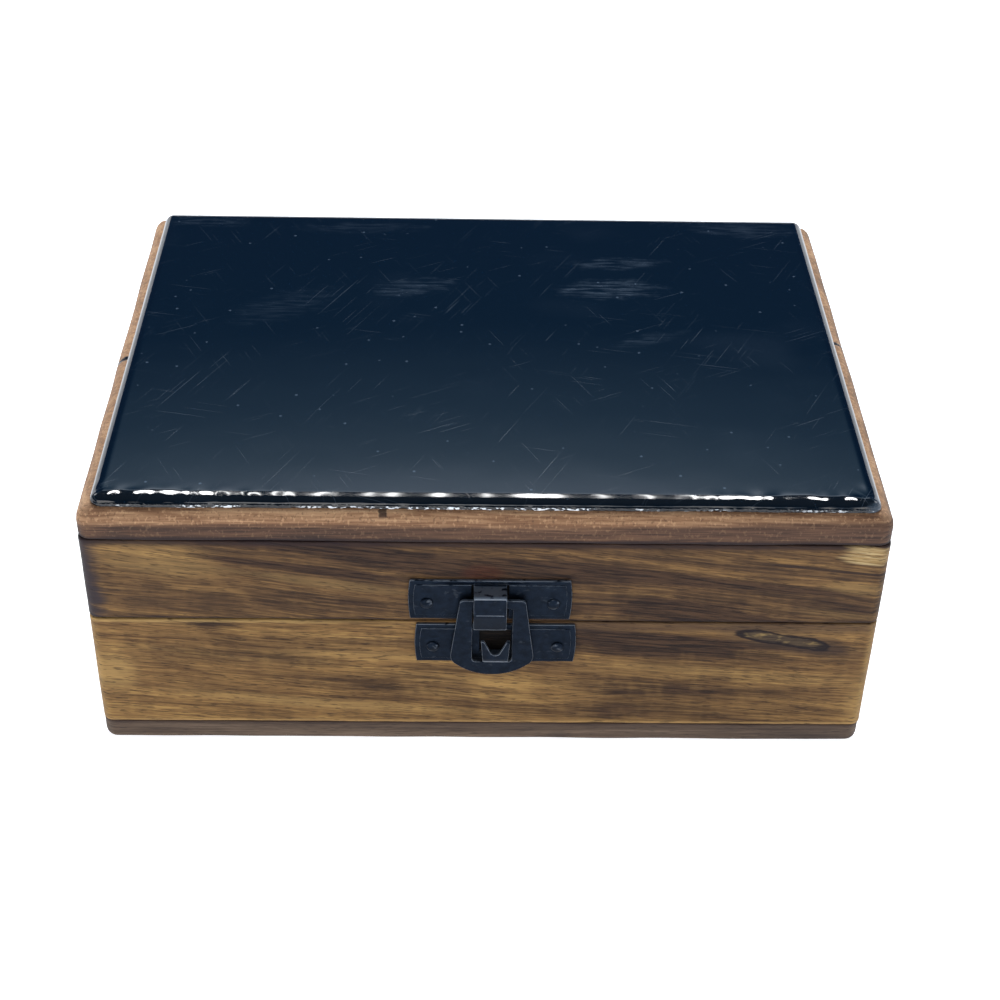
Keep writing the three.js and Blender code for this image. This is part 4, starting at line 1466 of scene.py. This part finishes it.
def knuckle(start, end, up):
    """A curled strip between two places along the pin."""
    line = [(-LEAF_CURL, up * (LEAF_CURL + KNUCKLE_GAP + CURL_LAP))]
    line += arc(0, 0, LEAF_CURL, 180, 180 + up * CURL_TURN, 40)
    side = thickened([Vector(point) for point in line], LEAF_SHEET)
    curl = cut_sheet([side], end - start, CURL_EDGE, SIDE_ON)
    return shifted(curl, x=(start + end) / 2)


def hinge_leaf(side, leaf, body):
    node = f"hinge_{side}_{leaf}_leaf"
    low, high = box_in_mm(node)
    pin_low, pin_high = box_in_mm(f"hinge_{side}_pin")
    axis = (pin_low + pin_high) / 2
    half = (high.x - low.x) / 2
    up = 1 if leaf == "lid" else -1
    near = LEAF_CURL + LEAF_SHEET / 2 + KNUCKLE_GAP
    bottom, top = sorted((up * near, up * LEAF_HEIGHT))
    outlines = [round_rectangle(-half, bottom, half, top, LEAF_CORNER)]
    for hand in HANDS:
        nail_low, nail_high = box_in_mm(f"hinge_{side}_{leaf}_nail_{hand}")
        from_axis = (nail_low + nail_high) / 2 - axis
        outlines.append(nail_hole(from_axis.x, from_axis.z))
    flat = shifted(cut_sheet(outlines, LEAF_SHEET, LEAF_EDGE, FACE_ON), y=-LEAF_CURL)
    inner, outer = KNUCKLE / 2, KNUCKLE / 2 + KNUCKLE_GAP
    spans = [(-inner, inner)] if leaf == "lid" else [(-half, -outer), (outer, half)]
    solid = combined([flat, *[knuckle(start, end, up) for start, end in spans]])
    return steel_piece(f"{node}_steel", solid, axis * MM, body, [node])


# %% [markdown]
# Pins and nails are turned shapes: a profile of (radius, distance along the axis) swept
# around. Nail heads are low domes that a hammer has dented slightly, so noise pushes each
# one in and out by its own small amount.


# %% Turned pieces
NAIL_HEAD, NAIL_HEAD_HEIGHT, NAIL_SHANK, NAIL_POINT = 1.2, 0.5, 0.5, 1.1
NAIL_DENT = 0.12
PIN_RADIUS, PIN_CHAMFER = 0.7, 0.2


def turned_solid(profile, sides):
    """A solid of revolution about Y. The profile starts and ends on the axis."""
    solid = bmesh.new()
    loops = []
    for radius, along in profile[1:-1]:
        loops.append([solid.verts.new((x, along, z)) for x, z in circle(radius, sides)])
    bridge(solid, loops)
    for (radius, along), loop in ((profile[0], loops[0]), (profile[-1], loops[-1])):
        tip = solid.verts.new((radius, along, 0))
        for i in range(sides):
            solid.faces.new((tip, loop[i], loop[(i + 1) % sides]))
    bmesh.ops.recalc_face_normals(solid, faces=solid.faces)
    return solid


def round_nail(node, body, seed):
    low, high = box_in_mm(node)
    middle = (low + high) / 2
    facing = -1 if middle.y < 0 else 1
    reach = high.y - low.y - NAIL_HEAD_HEIGHT
    profile = [(0, -reach), (0.12, -reach + 0.15), (NAIL_SHANK, -reach + NAIL_POINT)]
    profile += [(NAIL_SHANK, 0), (NAIL_HEAD - 0.08, 0), (NAIL_HEAD, 0.06)]
    for degrees in range(12, 90, 13):
        angle = math.radians(degrees)
        profile.append((NAIL_HEAD * math.cos(angle), NAIL_HEAD_HEIGHT * math.sin(angle)))
    profile.append((0, NAIL_HEAD_HEIGHT))
    solid = turned_solid(profile, 28)
    shift = Vector((seed * 3.7, seed * 1.9, 0))
    for vertex in solid.verts:
        if vertex.co.y > 0.1:
            dent = noise.noise(vertex.co * 0.9 + shift)
            vertex.co.y += dent * NAIL_DENT * vertex.co.y / NAIL_HEAD_HEIGHT
        vertex.co.y *= facing
    solid.normal_update()
    bmesh.ops.recalc_face_normals(solid, faces=solid.faces)
    under_head = facing * (max(abs(low.y), abs(high.y)) - NAIL_HEAD_HEIGHT)
    to_metres(solid, Vector((middle.x, under_head, middle.z)) * MM)
    return finish_piece(
        f"{node}_steel", solid, [nail_finish], body, [node], 50)


def hinge_pin(side):
    node = f"hinge_{side}_pin"
    low, high = box_in_mm(node)
    half = (high.x - low.x) / 2
    end = [(0, half), (PIN_RADIUS - PIN_CHAMFER, half), (PIN_RADIUS - 0.06, half - 0.07)]
    end.append((PIN_RADIUS, half - PIN_CHAMFER))
    profile = [(radius, -along) for radius, along in end] + end[::-1]
    solid = turned_solid(profile, 36)
    to_metres(solid, (low + high) / 2 * MM, Matrix.Rotation(-QUARTER, 4, "Z"))
    return finish_piece(
        f"{node}_steel", solid, [edge_wear_highlight_finish], "base", [node], 50)


# %% Hinges and nails in place
for side in HANDS:
    for leaf, body in (("base", "base"), ("lid", "lid")):
        piece = hinge_leaf(side, leaf, body)
        print(piece.name, len(piece.data.vertices), "points")
    print(hinge_pin(side).name)

bodies = frame["record"]["behaviour"]["bodies"]
body_of = {node: body for body, nodes in bodies.items() for node in nodes}
nails = sorted(node for node in frame["nodes"] if "_nail_" in node)
for order, node in enumerate(nails):
    round_nail(node, body_of[node], order + 1)
print("nails:", len(nails))

# %% Print the finished sizes
low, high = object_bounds()
print("visual box in mm:", [round(v / MM, 2) for v in (*low, *high)])
